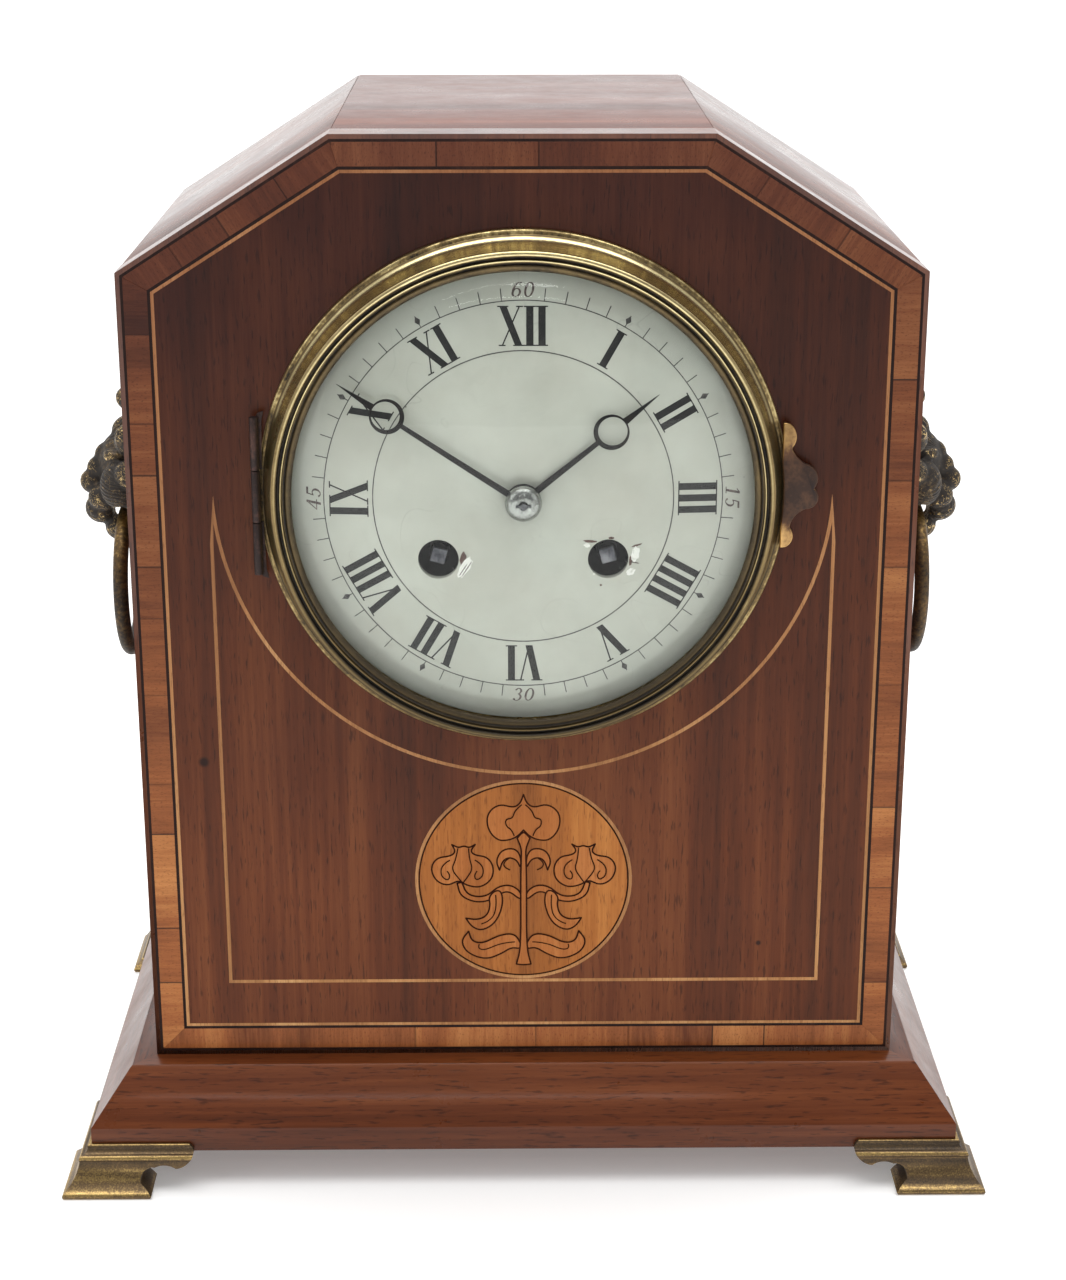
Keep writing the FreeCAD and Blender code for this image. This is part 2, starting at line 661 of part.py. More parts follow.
def hands():
    hour = hand_outline(HOUR_ANGLE, 31.5, 5.0, 4.1, 0.45, 48.4, 5.0, HOUR_HAND_Y - 0.6, HOUR_HAND_Y)
    save("hour_hand", hour.cut(rod_y(0, DIAL_Z, 2.7, -20, 0)))
    flat = hand_outline(MINUTE_ANGLE, 45.0, 4.9, 4.0, 0.45, 61.5, 4.2, MINUTE_HAND_Y - 3, MINUTE_HAND_Y + 6)
    minute = flat.common(bowed_sheet(HAND_THICK))
    save("minute_hand", minute.cut(rod_y(0, DIAL_Z, 1.6, -20, 0)))
    y = MINUTE_HAND_Y - 0.02
    steps = [(1.25, y), (5.2, y), ((4.2, y - 1.6), (1.9, y - 2.5)), (1.25, y - 2.6)]
    save("hand_collet", turned(steps, 0, DIAL_Z))


def bowed_sheet(thick):
    """A thin dished sheet that the minute hand is cut from."""
    def at(radius, extra):
        bow = MINUTE_HAND_SPHERE - sqrt(MINUTE_HAND_SPHERE ** 2 - radius ** 2)
        return radius, MINUTE_HAND_Y + bow + extra

    front = (at(DIAL_RADIUS / 2, 0), at(DIAL_RADIUS, 0))
    back = (at(DIAL_RADIUS / 2, thick), at(0, thick))
    return turned([at(0, 0), front, at(DIAL_RADIUS, thick), back], 0, DIAL_Z)


def toothed_disc(point, teeth, radius, phase, y0, y1, bore=0.0):
    """Clock wheel or pinion with pointed teeth, centred at point from the dial's centre."""
    x, z = at_dial(point)
    module = 2 * radius / teeth
    outline = []
    for i in range(teeth):
        tip = phase + 2 * pi * i / teeth
        root = tip + pi / teeth
        for size, angle in ((radius + TOOTH_TIP * module, tip), (radius - TOOTH_ROOT * module, root)):
            outline.append((x + size * cos(angle), z + size * sin(angle)))
    disc = plate_y(outline, y0, y1)
    return disc.cut(rod_y(x, z, bore, y0 - 1, y1 + 1)) if bore else disc


def mesh_phase(point_a, teeth_a, phase_a, point_b, teeth_b):
    """Phase that puts a gap of wheel b where wheel a has a tooth."""
    towards = atan2(point_b[1] - point_a[1], point_b[0] - point_a[0])
    turns = (towards - phase_a) * teeth_a / (2 * pi)
    return towards + pi - (0.5 - turns) * 2 * pi / teeth_b


def crossed(wheel, point, hub, rim, spokes, y0, y1):
    """Cut the openings between the spokes of a wheel."""
    x, z = at_dial(point)
    half_bar = 0.9
    cuts = []
    for i in range(spokes):
        middle = 360 * i / spokes + 20
        half = 180 / spokes
        inner_trim = degrees(half_bar / hub)
        outer_trim = degrees(half_bar / rim)

        def place(radius, angle):
            px, pz = polar(radius, angle)
            return V(x + px, y0 - 1, z + pz)

        a0, a1 = middle - half + inner_trim, middle + half - inner_trim
        b0, b1 = middle - half + outer_trim, middle + half - outer_trim
        edges = [
            Part.Arc(place(hub, a0), place(hub, middle), place(hub, a1)).toShape(),
            Part.LineSegment(place(hub, a1), place(rim, b1)).toShape(),
            Part.Arc(place(rim, b1), place(rim, middle), place(rim, b0)).toShape(),
            Part.LineSegment(place(rim, b0), place(hub, a0)).toShape(),
        ]
        cuts.append(Part.Face(Part.Wire(edges)).extrude(V(0, y1 - y0 + 2, 0)))
    return wheel.cut(cuts)


def motion_work():
    """Cannon pinion with its two-lobed lifting cam, minute wheel and hour wheel, before the front plate."""
    centre_distance = hypot(*MINUTE_WHEEL_AT)
    cannon_radius = centre_distance * CANNON_TEETH / (CANNON_TEETH + MINUTE_TEETH)
    cannon = toothed_disc((0, 0), CANNON_TEETH, cannon_radius, 0.0, 2.0, 4.8)
    cam = plate_y([at_dial(p) for p in ((-6.0, 1.0), (0.6, 3.4), (6.0, -1.0), (-0.6, -3.4))], 4.8, 5.5)
    pipe = rod_y(0, DIAL_Z, 1.55, MINUTE_HAND_Y + 0.02, 5.5)
    save("cannon_pinion", union([cannon, cam, pipe]).cut(rod_y(0, DIAL_Z, 1.2, -30, 20)))
    wheel_phase = mesh_phase((0, 0), CANNON_TEETH, 0.0, MINUTE_WHEEL_AT, MINUTE_TEETH)
    minute_radius = centre_distance - cannon_radius
    wheel = toothed_disc(MINUTE_WHEEL_AT, MINUTE_TEETH, minute_radius, wheel_phase, 2.8, 3.9)
    wheel = crossed(wheel, MINUTE_WHEEL_AT, 3.2, 7.0, 4, 2.8, 3.9)
    pinion_radius = centre_distance * MINUTE_PINION / (MINUTE_PINION + HOUR_TEETH)
    pinion_phase = 0.3
    pinion = toothed_disc(MINUTE_WHEEL_AT, MINUTE_PINION, pinion_radius, pinion_phase, -1.0, 2.9)
    x, z = at_dial(MINUTE_WHEEL_AT)
    save("minute_wheel", union([wheel, pinion]).cut(rod_y(x, z, PIVOT + PIVOT_PLAY, -5, 10)))
    hour_phase = mesh_phase(MINUTE_WHEEL_AT, MINUTE_PINION, pinion_phase, (0, 0), HOUR_TEETH)
    hour = toothed_disc((0, 0), HOUR_TEETH, centre_distance - pinion_radius, hour_phase, -0.2, 1.0)
    hour = crossed(hour, (0, 0), 4.0, 7.6, 4, -0.2, 1.0)
    pipe = rod_y(0, DIAL_Z, 2.7, HOUR_HAND_Y - 0.6, 1.4)
    save("hour_wheel", union([hour, pipe]).cut(rod_y(0, DIAL_Z, 1.6, -30, 20)))


# --- Movement frame --------------------------------------------------------------------------------
def pillar_places():
    return [polar(PILLAR_CIRCLE, angle) for angle in PILLAR_ANGLES]


def arbor_holes():
    going = [SECOND_AT, (0, 0), THIRD_AT, ESCAPE_AT]
    strike = [STRIKE_SECOND_AT, PIN_WHEEL_AT, LOCKING_AT, FLY_AT]
    return going + strike + [ANCHOR_AT, HAMMER_AT, LOCKING_LEVER_AT]


def movement_plates():
    """Front and back plates with a hole for every arbor."""
    for name, y in (("front_plate", FRONT_PLATE_Y), ("back_plate", BACK_PLATE_Y)):
        plate = rod_y(0, DIAL_Z, PLATE_RADIUS, y, y + PLATE_THICK)
        holes = [rod_y(*at_dial(p), PIVOT + PIVOT_PLAY, y - 1, y + 4) for p in arbor_holes()]
        for at in (GOING_BARREL_AT, STRIKE_BARREL_AT):
            holes.append(rod_y(*at_dial(at), ARBOR_RADIUS + PIVOT_PLAY, y - 1, y + 4))
        if name == "front_plate":
            for angle in DIAL_FOOT_ANGLES:
                holes.append(rod_y(*at_dial(polar(DIAL_FOOT_CIRCLE, angle)), 1.15, y - 1, y + 4))
            lift_x, lift_z = at_dial(LIFTING_PIN_AT)
            holes.append(rod_y(lift_x, lift_z + 0.6, 2.6, y - 1, y + 4))
        plate = plate.cut(holes)
        if name == "front_plate":
            minute_stud = rod_y(*at_dial(MINUTE_WHEEL_AT), PIVOT, -1.4, y + 0.5)
            lever_stud = rod_y(*at_dial(LIFTING_LEVER_AT), PIVOT, 4.0, y + 0.5)
            plate = union([plate, minute_stud, lever_stud])
        save(name, plate)
    pillars = []
    for place in pillar_places():
        x, z = at_dial(place)
        steps = [
            (0, FRONT_PLATE_Y + PLATE_THICK),
            (3.0, FRONT_PLATE_Y + PLATE_THICK),
            (2.2, 12.0),
            (2.2, 42.0),
            (3.0, BACK_PLATE_Y),
            (0, BACK_PLATE_Y),
        ]
        pillars.append(turned(steps, x, z))
    save("pillars", group(pillars))


# --- Going train -----------------------------------------------------------------------------------
def barrel(point, phase):
    """Spring barrel with its great wheel; it turns on the winding arbor."""
    x, z = at_dial(point)
    drum = rod_y(x, z, BARREL_RADIUS, 10.5, 26.2)
    cap = rod_y(x, z, BARREL_RADIUS - 1.4, 9.9, 10.6)
    wheel = toothed_disc(point, GREAT_TEETH, GREAT_RADIUS, phase, GREAT_Y, GREAT_Y + 2.2)
    return union([drum, cap, wheel]).cut(rod_y(x, z, ARBOR_RADIUS + PIVOT_PLAY, 0, 60))


def winding_arbor(point, turn):
    """Arbor with its key square in front, and its ratchet wheel in front of the front plate."""
    x, z = at_dial(point)
    shaft = rod_y(x, z, ARBOR_RADIUS, 1.0, BACK_PLATE_Y + PLATE_THICK + 0.6)
    half = KEY_SQUARE / 2
    square = box(x - half, x + half, -4.0, 1.2, z - half, z + half)
    square.rotate(V(x, 0, z), Y_AXIS, turn)
    outline = []
    for i in range(RATCHET_TEETH):
        for size, step in ((RATCHET_RADIUS, 0.0), (RATCHET_RADIUS - RATCHET_TOOTH, 0.12)):
            px, pz = polar(size, 360 * (i + step) / RATCHET_TEETH)
            outline.append((x + px, z + pz))
    ratchet = plate_y(outline, 3.6, 5.2)
    return union([shaft, square, ratchet])


def ratchet_clicks():
    """A click on each ratchet wheel, held just clear of the teeth, on the front plate."""
    clicks = []
    for side in (-1, 1):
        x, z = at_dial((side * WINDING_X, -WINDING_DROP))
        pivot = (side * 13.0, -WINDING_DROP - 12.0)
        px, pz = at_dial(pivot)
        nose = (x - side * 4.6, z - 7.6)
        beak = (nose[0] - side * 1.6, nose[1] + 1.4)
        arm = plate_y([(px, pz - 1.6), nose, beak, (px, pz + 2.0)], 3.7, 5.1)
        clicks.append(union([arm, rod_y(px, pz, 2.3, 3.7, FRONT_PLATE_Y)]))
    save("ratchet_clicks", group(clicks))


def arbor(point, y0=FRONT_PLATE_Y, y1=BACK_PLATE_Y + PLATE_THICK):
    return rod_y(*at_dial(point), PIVOT, y0, y1)


def spoked(at, teeth, radius, phase, y):
    """Toothed wheel with four spokes, its front face at depth y."""
    wheel = toothed_disc(at, teeth, radius, phase, y, y + WHEEL_THICK)
    return crossed(wheel, at, max(3.0, radius * 0.2), radius * 0.82, 4, y, y + WHEEL_THICK)


def going_train():
    """Barrel, second, centre, third and escape wheels; each pinion's phase follows from the wheel before."""
    save("going_barrel", barrel(GOING_BARREL_AT, 0.0))
    save("going_winding_arbor", winding_arbor(GOING_BARREL_AT, GOING_SQUARE_TURN))
    pinion_phase = mesh_phase(GOING_BARREL_AT, GREAT_TEETH, 0.0, SECOND_AT, SECOND_PINION)
    pinion_radius = GREAT_RADIUS * SECOND_PINION / GREAT_TEETH
    reach = apart(SECOND_AT, (0, 0))
    total = SECOND_TEETH + CENTRE_PINION
    wheel = spoked(SECOND_AT, SECOND_TEETH, reach * SECOND_TEETH / total, 0.0, SECOND_Y)
    pinion = toothed_disc(SECOND_AT, SECOND_PINION, pinion_radius, pinion_phase, *SECOND_PINION_Y)
    save("second_wheel", union([wheel, pinion, arbor(SECOND_AT)]))

    pinion_phase = mesh_phase(SECOND_AT, SECOND_TEETH, 0.0, (0, 0), CENTRE_PINION)
    pinion_radius = reach * CENTRE_PINION / total
    reach = apart((0, 0), THIRD_AT)
    total = CENTRE_TEETH + THIRD_PINION
    wheel = spoked((0, 0), CENTRE_TEETH, reach * CENTRE_TEETH / total, 0.0, CENTRE_Y)
    pinion = toothed_disc((0, 0), CENTRE_PINION, pinion_radius, pinion_phase, *CENTRE_PINION_Y)
    shaft = rod_y(0, DIAL_Z, PIVOT, MINUTE_HAND_Y - 4.0, BACK_PLATE_Y + PLATE_THICK)
    pin = Part.makeCylinder(0.35, 4.4, V(-2.2, MINUTE_HAND_Y - 3.1, DIAL_Z), V(1, 0, 0))
    save("centre_wheel", union([wheel, pinion, shaft, pin]))

    pinion_phase = mesh_phase((0, 0), CENTRE_TEETH, 0.0, THIRD_AT, THIRD_PINION)
    pinion_radius = reach * THIRD_PINION / total
    reach = apart(THIRD_AT, ESCAPE_AT)
    total = THIRD_TEETH + ESCAPE_PINION
    wheel = spoked(THIRD_AT, THIRD_TEETH, reach * THIRD_TEETH / total, 0.0, THIRD_Y)
    pinion = toothed_disc(THIRD_AT, THIRD_PINION, pinion_radius, pinion_phase, *THIRD_PINION_Y)
    save("third_wheel", union([wheel, pinion, arbor(THIRD_AT)]))

    pinion_phase = mesh_phase(THIRD_AT, THIRD_TEETH, 0.0, ESCAPE_AT, ESCAPE_PINION)
    pinion_radius = reach * ESCAPE_PINION / total
    pinion = toothed_disc(ESCAPE_AT, ESCAPE_PINION, pinion_radius, pinion_phase, *ESCAPE_PINION_Y)
    save("escape_wheel", union([escape_disc(), pinion, arbor(ESCAPE_AT)]))


def escape_disc():
    """Escape wheel with undercut pointed teeth."""
    x, z = at_dial(ESCAPE_AT)
    outline = []
    for i in range(ESCAPE_TEETH):
        for size, step in ((ESCAPE_RADIUS, 0.0), (ESCAPE_RADIUS - 1.5, 0.25)):
            px, pz = polar(size, 360 * (i + step) / ESCAPE_TEETH)
            outline.append((x + px, z + pz))
    wheel = plate_y(outline, ESCAPE_Y, ESCAPE_Y + 1.0)
    return crossed(wheel, ESCAPE_AT, 2.6, 6.4, 4, ESCAPE_Y, ESCAPE_Y + 1.0)


def pallets():
    """Anchor with its arbor and the crutch behind the back plate."""
    x, z = at_dial(ANCHOR_AT)
    half_span = 6.7
    drop = 5.0
    arms = [
        (x - half_span - 1.3, z - drop + 0.6),
        (x - half_span + 0.3, z - drop - 0.1),
        (x - 3.4, z - 1.9),
        (x, z - 1.5),
        (x + 3.4, z - 1.9),
        (x + half_span - 0.3, z - drop - 0.1),
        (x + half_span + 1.3, z - drop + 0.6),
        (x + 3.6, z + 1.2),
        (x, z + 2.0),
        (x - 3.6, z + 1.2),
    ]
    anchor = plate_y(arms, 42.7, 44.3)
    shaft = rod_y(x, z, PIVOT, FRONT_PLATE_Y, 51.6)
    crutch = bar((0, ANCHOR_AT[1] + 1.6), (0, ANCHOR_AT[1] - 30), 1.6, 1.1, 50.2, 51.4)
    fork = box(x - 2.6, x + 2.6, 50.2, 55.0, z - 31.5, z - 29.5)
    slot = box(x - 1.5, x + 1.5, 51.4, 56.0, z - 32, z - 29)
    save("pallets", union([anchor, shaft, crutch, fork.cut(slot)]))


def pendulum():
    """Suspension spring, rod, lens-shaped bob and rating nut; the cock carries it on the back plate."""
    x, z = at_dial(ANCHOR_AT)
    y = 53.6
    spring = box(x - 3.0, x + 3.0, y - 0.12, y + 0.12, z - 3.6, z + 4.6)
    top = box(x - 3.4, x + 3.4, y - 1.2, y + 1.2, z - 7.6, z - 3.5)
    rod_end = z - PENDULUM_LENGTH - BOB_RADIUS - 7
    rod = Part.makeCylinder(1.1, z - 7.5 - rod_end, V(x, y, rod_end))
    save("pendulum_rod", union([spring, top, rod]))
    bob_z = z - PENDULUM_LENGTH
    half_section = [(BOB_RADIUS, 0.8), (BOB_RADIUS - 1.2, 1.8), (BOB_RADIUS * 0.6, 4.2), (0, 5.0)]
    steps = [(r, y - out) for r, out in reversed(half_section)] + [(r, y + out) for r, out in half_section]
    bore = Part.makeCylinder(1.12, 80, V(x, y, bob_z - 40))
    bob = turned(steps, x, bob_z).cut(bore)
    nut = Part.makeCylinder(3.6, 3.0, V(x, y, bob_z - BOB_RADIUS - 3.1)).cut(bore)
    save("pendulum_bob", group([bob, nut]))
    base = box(x - 6, x + 6, 48.0, 50.0, z + 1.8, z + 6.6)
    arm = box(x - 6, x + 6, 48.0, 57.0, z + 5.0, z + 8.0)
    cheeks = []
    for y0, y1 in ((y - 2.6, y - 0.5), (y + 0.5, y + 2.6)):
        cheeks.append(box(x - 4, x + 4, y0, y1, z + 2.4, z + 6.0))
    save("suspension_cock", union([base, arm] + cheeks))


# --- Strike train ----------------------------------------------------------------------------------
def strike_train():
    """Barrel, second wheel with the count wheel, pin wheel, locking wheel and fly."""
    save("strike_barrel", barrel(STRIKE_BARREL_AT, 0.0))
    save("strike_winding_arbor", winding_arbor(STRIKE_BARREL_AT, STRIKE_SQUARE_TURN))
    at = STRIKE_SECOND_AT
    pinion_phase = mesh_phase(STRIKE_BARREL_AT, GREAT_TEETH, 0.0, at, SECOND_PINION)
    pinion_radius = GREAT_RADIUS * SECOND_PINION / GREAT_TEETH
    pinion = toothed_disc(at, SECOND_PINION, pinion_radius, pinion_phase, *SECOND_PINION_Y)
    reach = apart(at, PIN_WHEEL_AT)
    total = STRIKE_SECOND_TEETH + PIN_PINION
    wheel = spoked(at, STRIKE_SECOND_TEETH, reach * STRIKE_SECOND_TEETH / total, 0.0, SECOND_Y)
    save("strike_second_wheel", union([wheel, pinion, arbor(at, y1=50.6), count_wheel()]))

    at = PIN_WHEEL_AT
    pinion_phase = mesh_phase(STRIKE_SECOND_AT, STRIKE_SECOND_TEETH, 0.0, at, PIN_PINION)
    pinion = toothed_disc(at, PIN_PINION, reach * PIN_PINION / total, pinion_phase, *PIN_PINION_Y)
    reach = apart(at, LOCKING_AT)
    total = PIN_TEETH + LOCKING_PINION
    pin_radius = reach * PIN_TEETH / total
    wheel = spoked(at, PIN_TEETH, pin_radius, 0.0, PIN_Y)
    save("pin_wheel", union([wheel, pinion, arbor(at)] + hammer_pins(pin_radius - 2.0)))

    at = LOCKING_AT
    pinion_phase = mesh_phase(PIN_WHEEL_AT, PIN_TEETH, 0.0, at, LOCKING_PINION)
    pinion = toothed_disc(at, LOCKING_PINION, reach * LOCKING_PINION / total, pinion_phase, *LOCKING_PINION_Y)
    reach = apart(at, FLY_AT)
    total = LOCKING_TEETH + FLY_PINION
    wheel = spoked(at, LOCKING_TEETH, reach * LOCKING_TEETH / total, 0.0, LOCKING_Y)
    pin_x, pin_z = polar(8.2, 20)
    locking_pin = rod_y(*at_dial((at[0] + pin_x, at[1] + pin_z)), 0.4, LOCKING_Y + WHEEL_THICK - 0.1, 35.5)
    save("locking_wheel", union([wheel, pinion, arbor(at), locking_pin]))

    x, z = at_dial(FLY_AT)
    pinion_phase = mesh_phase(LOCKING_AT, LOCKING_TEETH, 0.0, FLY_AT, FLY_PINION)
    pinion = toothed_disc(FLY_AT, FLY_PINION, reach * FLY_PINION / total, pinion_phase, *FLY_PINION_Y)
    vane = box(x - 6.5, x + 6.5, 12.0, 28.0, z - 0.4, z + 0.4)
    save("fly", union([pinion, arbor(FLY_AT), vane, rod_y(x, z, 1.6, 11.0, 29.0)]))


def hammer_pins(circle):
    """Six-sided pins on the back of the pin wheel that lift the hammer."""
    x, z = at_dial(PIN_WHEEL_AT)
    pins = []
    for i in range(HAMMER_PINS):
        px, pz = polar(circle, 360 * i / HAMMER_PINS)
        corners = [(x + px + 0.5 * cos(k * pi / 3), z + pz + 0.5 * sin(k * pi / 3)) for k in range(6)]
        pins.append(plate_y(corners, PIN_Y + WHEEL_THICK - 0.1, 40.4))
    return pins


def count_wheel():
    """Count wheel behind the back plate: one notch after each hour's blows and each half hour's blow."""
    x, z = at_dial(STRIKE_SECOND_AT)
    disc = rod_y(x, z, COUNT_RADIUS, 48.6, 49.8)
    notches = []
    blows = 0
    for hour in range(1, 13):
        blows += hour + 1
        turn = 360 * blows / BLOWS_IN_TWELVE_HOURS
        px, pz = polar(COUNT_RADIUS, turn)
        slot = box(-1.6, 1.6, 48.0, 50.4, -0.55, 0.55)
        slot.rotate(V(0, 0, 0), Y_AXIS, -turn)
        slot.translate(V(x + px, 0, z + pz))
        notches.append(slot)
    return disc.cut(notches)


def levers():
    """Lifting lever on the front plate, and the locking lever that it raises by its pin."""
    x, z = at_dial(LIFTING_LEVER_AT)
    boss = rod_y(x, z, 2.3, 4.5, 5.6)
    arm = bar(LIFTING_LEVER_AT, (-7.2, 2.4), 1.8, 0.9, 4.5, 5.6)
    pin = rod_y(*at_dial(LIFTING_PIN_AT), 0.8, 4.6, 12.2)
    save("lifting_lever", union([boss, arm, pin]).cut(rod_y(x, z, PIVOT + PIVOT_PLAY, 0, 9)))

    toe = (-27.3, 9.9)
    toe_x, toe_z = at_dial(toe)
    lower_arm = bar(LOCKING_LEVER_AT, toe, 1.5, 0.8, 10.2, 11.6)
    foot = box(toe_x - 2.2, toe_x + 1.4, 10.2, 11.6, toe_z - 0.7, toe_z + 0.5)
    locking_arm = bar(LOCKING_LEVER_AT, (-18.3, 31.4), 1.5, 0.8, 34.65, 35.6)
    elbow = (-15.2, 17.0)
    count_arm = bar(LOCKING_LEVER_AT, elbow, 1.6, 1.0, 48.7, 49.9)
    blade = bar(elbow, (-13.9, 15.55), 0.9, 0.45, 48.7, 49.9)
    shaft = arbor(LOCKING_LEVER_AT, y1=50.2)
    save("locking_lever", union([shaft, lower_arm, foot, locking_arm, count_arm, blade]))


# --- Hammer and bell -------------------------------------------------------------------------------
def hammer():
    """Hammer arbor with its tail by the pin wheel and the hammer behind the back plate."""
    x, z = at_dial(HAMMER_AT)
    shaft = rod_y(x, z, PIVOT, FRONT_PLATE_Y, 64.0)
    tail = bar(HAMMER_AT, (HAMMER_AT[0] + 7.8, HAMMER_AT[1] + 2.1), 1.4, 0.5, 38.0, 39.6)
    head_x, head_z = x + 5.6, z - 29.5
    arm = bar(HAMMER_AT, (HAMMER_AT[0] + 5.6, HAMMER_AT[1] - 29.5), 1.3, 0.9, 61.4, 62.8)
    head = Part.makeCylinder(3.2, 11.0, V(head_x - 7.6, 62.1, head_z - 3.0), V(0.93, 0, 0.37))
    save("hammer", union([shaft, tail, arm, head]))


def bell():
    """Bowl-shaped bell, mouth towards the back plate, with its stand and nut."""
    x, z = at_dial(BELL_AT)
    wall = 1.6
    steps = [
        (BELL_RADIUS, BELL_MOUTH_Y),
        ((BELL_RADIUS * 0.86, BELL_MOUTH_Y + 12.5), (BELL_RADIUS * 0.5, BELL_CROWN_Y - 1.5)),
        (2.2, BELL_CROWN_Y),
        (2.2, BELL_CROWN_Y - wall),
        (BELL_RADIUS * 0.47, BELL_CROWN_Y - 1.5 - wall),
        ((BELL_RADIUS * 0.86 - wall, BELL_MOUTH_Y + 11.4), (BELL_RADIUS - wall, BELL_MOUTH_Y)),
    ]
    save("bell", turned(steps, x, z))
    foot_at = (16.5, -43.0)
    foot_x, foot_z = at_dial(foot_at)
    pad = box(foot_x - 5, foot_x + 5, 48.0, 50.0, foot_z - 3.5, foot_z + 3.5)
    arm = box(foot_x - 3, foot_x + 3, 48.0, BELL_CROWN_Y + 2.2, foot_z - 1.2, foot_z + 1.2)
    blade = bar(BELL_AT, foot_at, 3.0, 3.0, BELL_CROWN_Y + 0.02, BELL_CROWN_Y + 2.2)
    stud = rod_y(x, z, 2.1, BELL_CROWN_Y - 6, BELL_CROWN_Y + 5)
    nut = rod_y(x, z, 3.6, BELL_CROWN_Y - 4.6, BELL_CROWN_Y - wall - 0.4)
    save("bell_stand", union([pad, arm, blade, stud, nut]))


# --- Back of the case ------------------------------------------------------------------------------
def strap_screw_at(turn):
    return at_dial(polar(62.2, turn))


def case_straps():
    """Two brass straps that hold the front furniture and the back bezel together through the case."""
    straps = []
    lug_back = CASE_DEPTH - BACK_BOARD - 0.1
    for turn in STRAP_TURNS:
        bar_piece = box(62.6, 64.2, 9.0, lug_back, -5, 5)
        lug = box(58.4, 64.2, lug_back - 4.9, lug_back, -5, 5)
        strap = bar_piece.fuse(lug)
        strap.rotate(V(0, 0, 0), Y_AXIS, -turn)
        strap.translate(V(0, 0, DIAL_Z))
        straps.append(strap.cut(rod_y(*strap_screw_at(turn), STRAP_SCREW, 130, 160)))
    save("case_straps", group(straps))


def case_screws():
    """Wood screws of the feet, and the two machine screws that draw the back bezel to the straps."""
    screws = [wood_screw(x, y) for x, y in foot_screw_places()]
    for turn in STRAP_TURNS:
        x, z = strap_screw_at(turn)
        shank = rod_y(x, z, STRAP_SCREW, CASE_DEPTH - 12.5, CASE_DEPTH + 1.7)
        head = rod_y(x, z, 2.7, CASE_DEPTH + 1.6, CASE_DEPTH + 2.6)
        screws.append(shank.fuse(head))
    save("case_screws", group(screws))


def back_door():
    """Round brass door in its flanged ring, hinged on the side away from the knob."""
    door_y = CASE_DEPTH + 1.8
    steps = [
        (BACK_BORE, CASE_DEPTH - BACK_BOARD),
        (BACK_BARREL, CASE_DEPTH - BACK_BOARD),
        (BACK_BARREL, CASE_DEPTH),
        (BACK_FLANGE_RADIUS, CASE_DEPTH),
        (BACK_FLANGE_RADIUS, CASE_DEPTH + 0.8),
        (BACK_FLANGE_RADIUS - 0.8, CASE_DEPTH + 1.6),
        (BACK_BORE, CASE_DEPTH + 1.6),
    ]
    ring = turned(steps, 0, DIAL_Z)
    holes = [rod_y(*strap_screw_at(turn), STRAP_SCREW + 0.1, 140, 160) for turn in STRAP_TURNS]
    pin_y = CASE_DEPTH + 2.4
    for z0, z1 in ((DIAL_Z - 9, DIAL_Z - 3), (DIAL_Z + 3, DIAL_Z + 9)):
        barrel_piece = Part.makeCylinder(1.25, z1 - z0, V(BACK_HINGE_X, pin_y, z0))
        leaf = box(BACK_HINGE_X - 1.2, BACK_HINGE_X, CASE_DEPTH + 1.0, pin_y, z0, z1)
        ring = ring.fuse([barrel_piece, leaf])
    pin = Part.makeCylinder(0.5, 18, V(BACK_HINGE_X, pin_y, DIAL_Z - 9))
    ring = ring.cut(holes + [Part.makeCylinder(1.6, 6.2, V(BACK_HINGE_X, pin_y, DIAL_Z - 3.1))])
    save("back_bezel", union([ring.removeSplitter(), pin]))
    steps = [
        (0, door_y - 3.0),
        (50.0, door_y - 3.0),
        (52.2, door_y),
        (BACK_DOOR_RADIUS, door_y),
        (BACK_DOOR_RADIUS, door_y + 1.0),
        (51.5, door_y + 1.0),
        (49.6, door_y - 2.0),
        (0, door_y - 2.0),
    ]
    door = turned(steps, 0, DIAL_Z)
    middle = Part.makeCylinder(1.25, 5.8, V(BACK_HINGE_X, pin_y, DIAL_Z - 2.9))
    leaf = box(BACK_HINGE_X, -56.5, pin_y - 0.3, pin_y + 0.5, DIAL_Z - 2.9, DIAL_Z + 2.9)
    room = [
        Part.makeCylinder(0.55, 30, V(BACK_HINGE_X, pin_y, DIAL_Z - 15)),
        box(BACK_HINGE_X - 2, BACK_HINGE_X + 2.9, door_y - 1, door_y + 3, DIAL_Z - 9.3, DIAL_Z - 2.95),
        box(BACK_HINGE_X - 2, BACK_HINGE_X + 2.9, door_y - 1, door_y + 3, DIAL_Z + 2.95, DIAL_Z + 9.3),
    ]
    knob_steps = [(0, door_y + 0.5), (2.0, door_y + 0.5), (2.0, door_y + 0.9), (3.4, door_y + 1.1)]
    knob_steps += [((3.2, BACK_TIP - 0.2), (2.2, BACK_TIP)), (0, BACK_TIP)]
    knob = turned(knob_steps, 55.2, DIAL_Z)
    save("back_door", union([door, middle, leaf, knob]).cut(room))


# --- Lion-mask handles -----------------------------------------------------------------------------
def ball(out, across, up, radius):
    """A sphere on the mask, placed by its distance out from the case side, across it and up it."""
    return Part.makeSphere(radius, V(CASE_HALF_WIDTH + out, MASK_Y + across, MASK_Z + up))


def mane_dome():
    """Round boss of the mane, turned about the mask's own axis."""
    steps = [(0, 0), (21.5, 0), (21.5, 7.0), ((17.8, 12.6), (11.0, 15.4)), (0, 16.4)]

    def radial(r, out):
        return V(CASE_HALF_WIDTH + out, MASK_Y, MASK_Z + r)

    face = Part.Face(Part.Wire(outline_edges(steps, radial)))
    return face.revolve(radial(0, 0), V(1, 0, 0), 360)


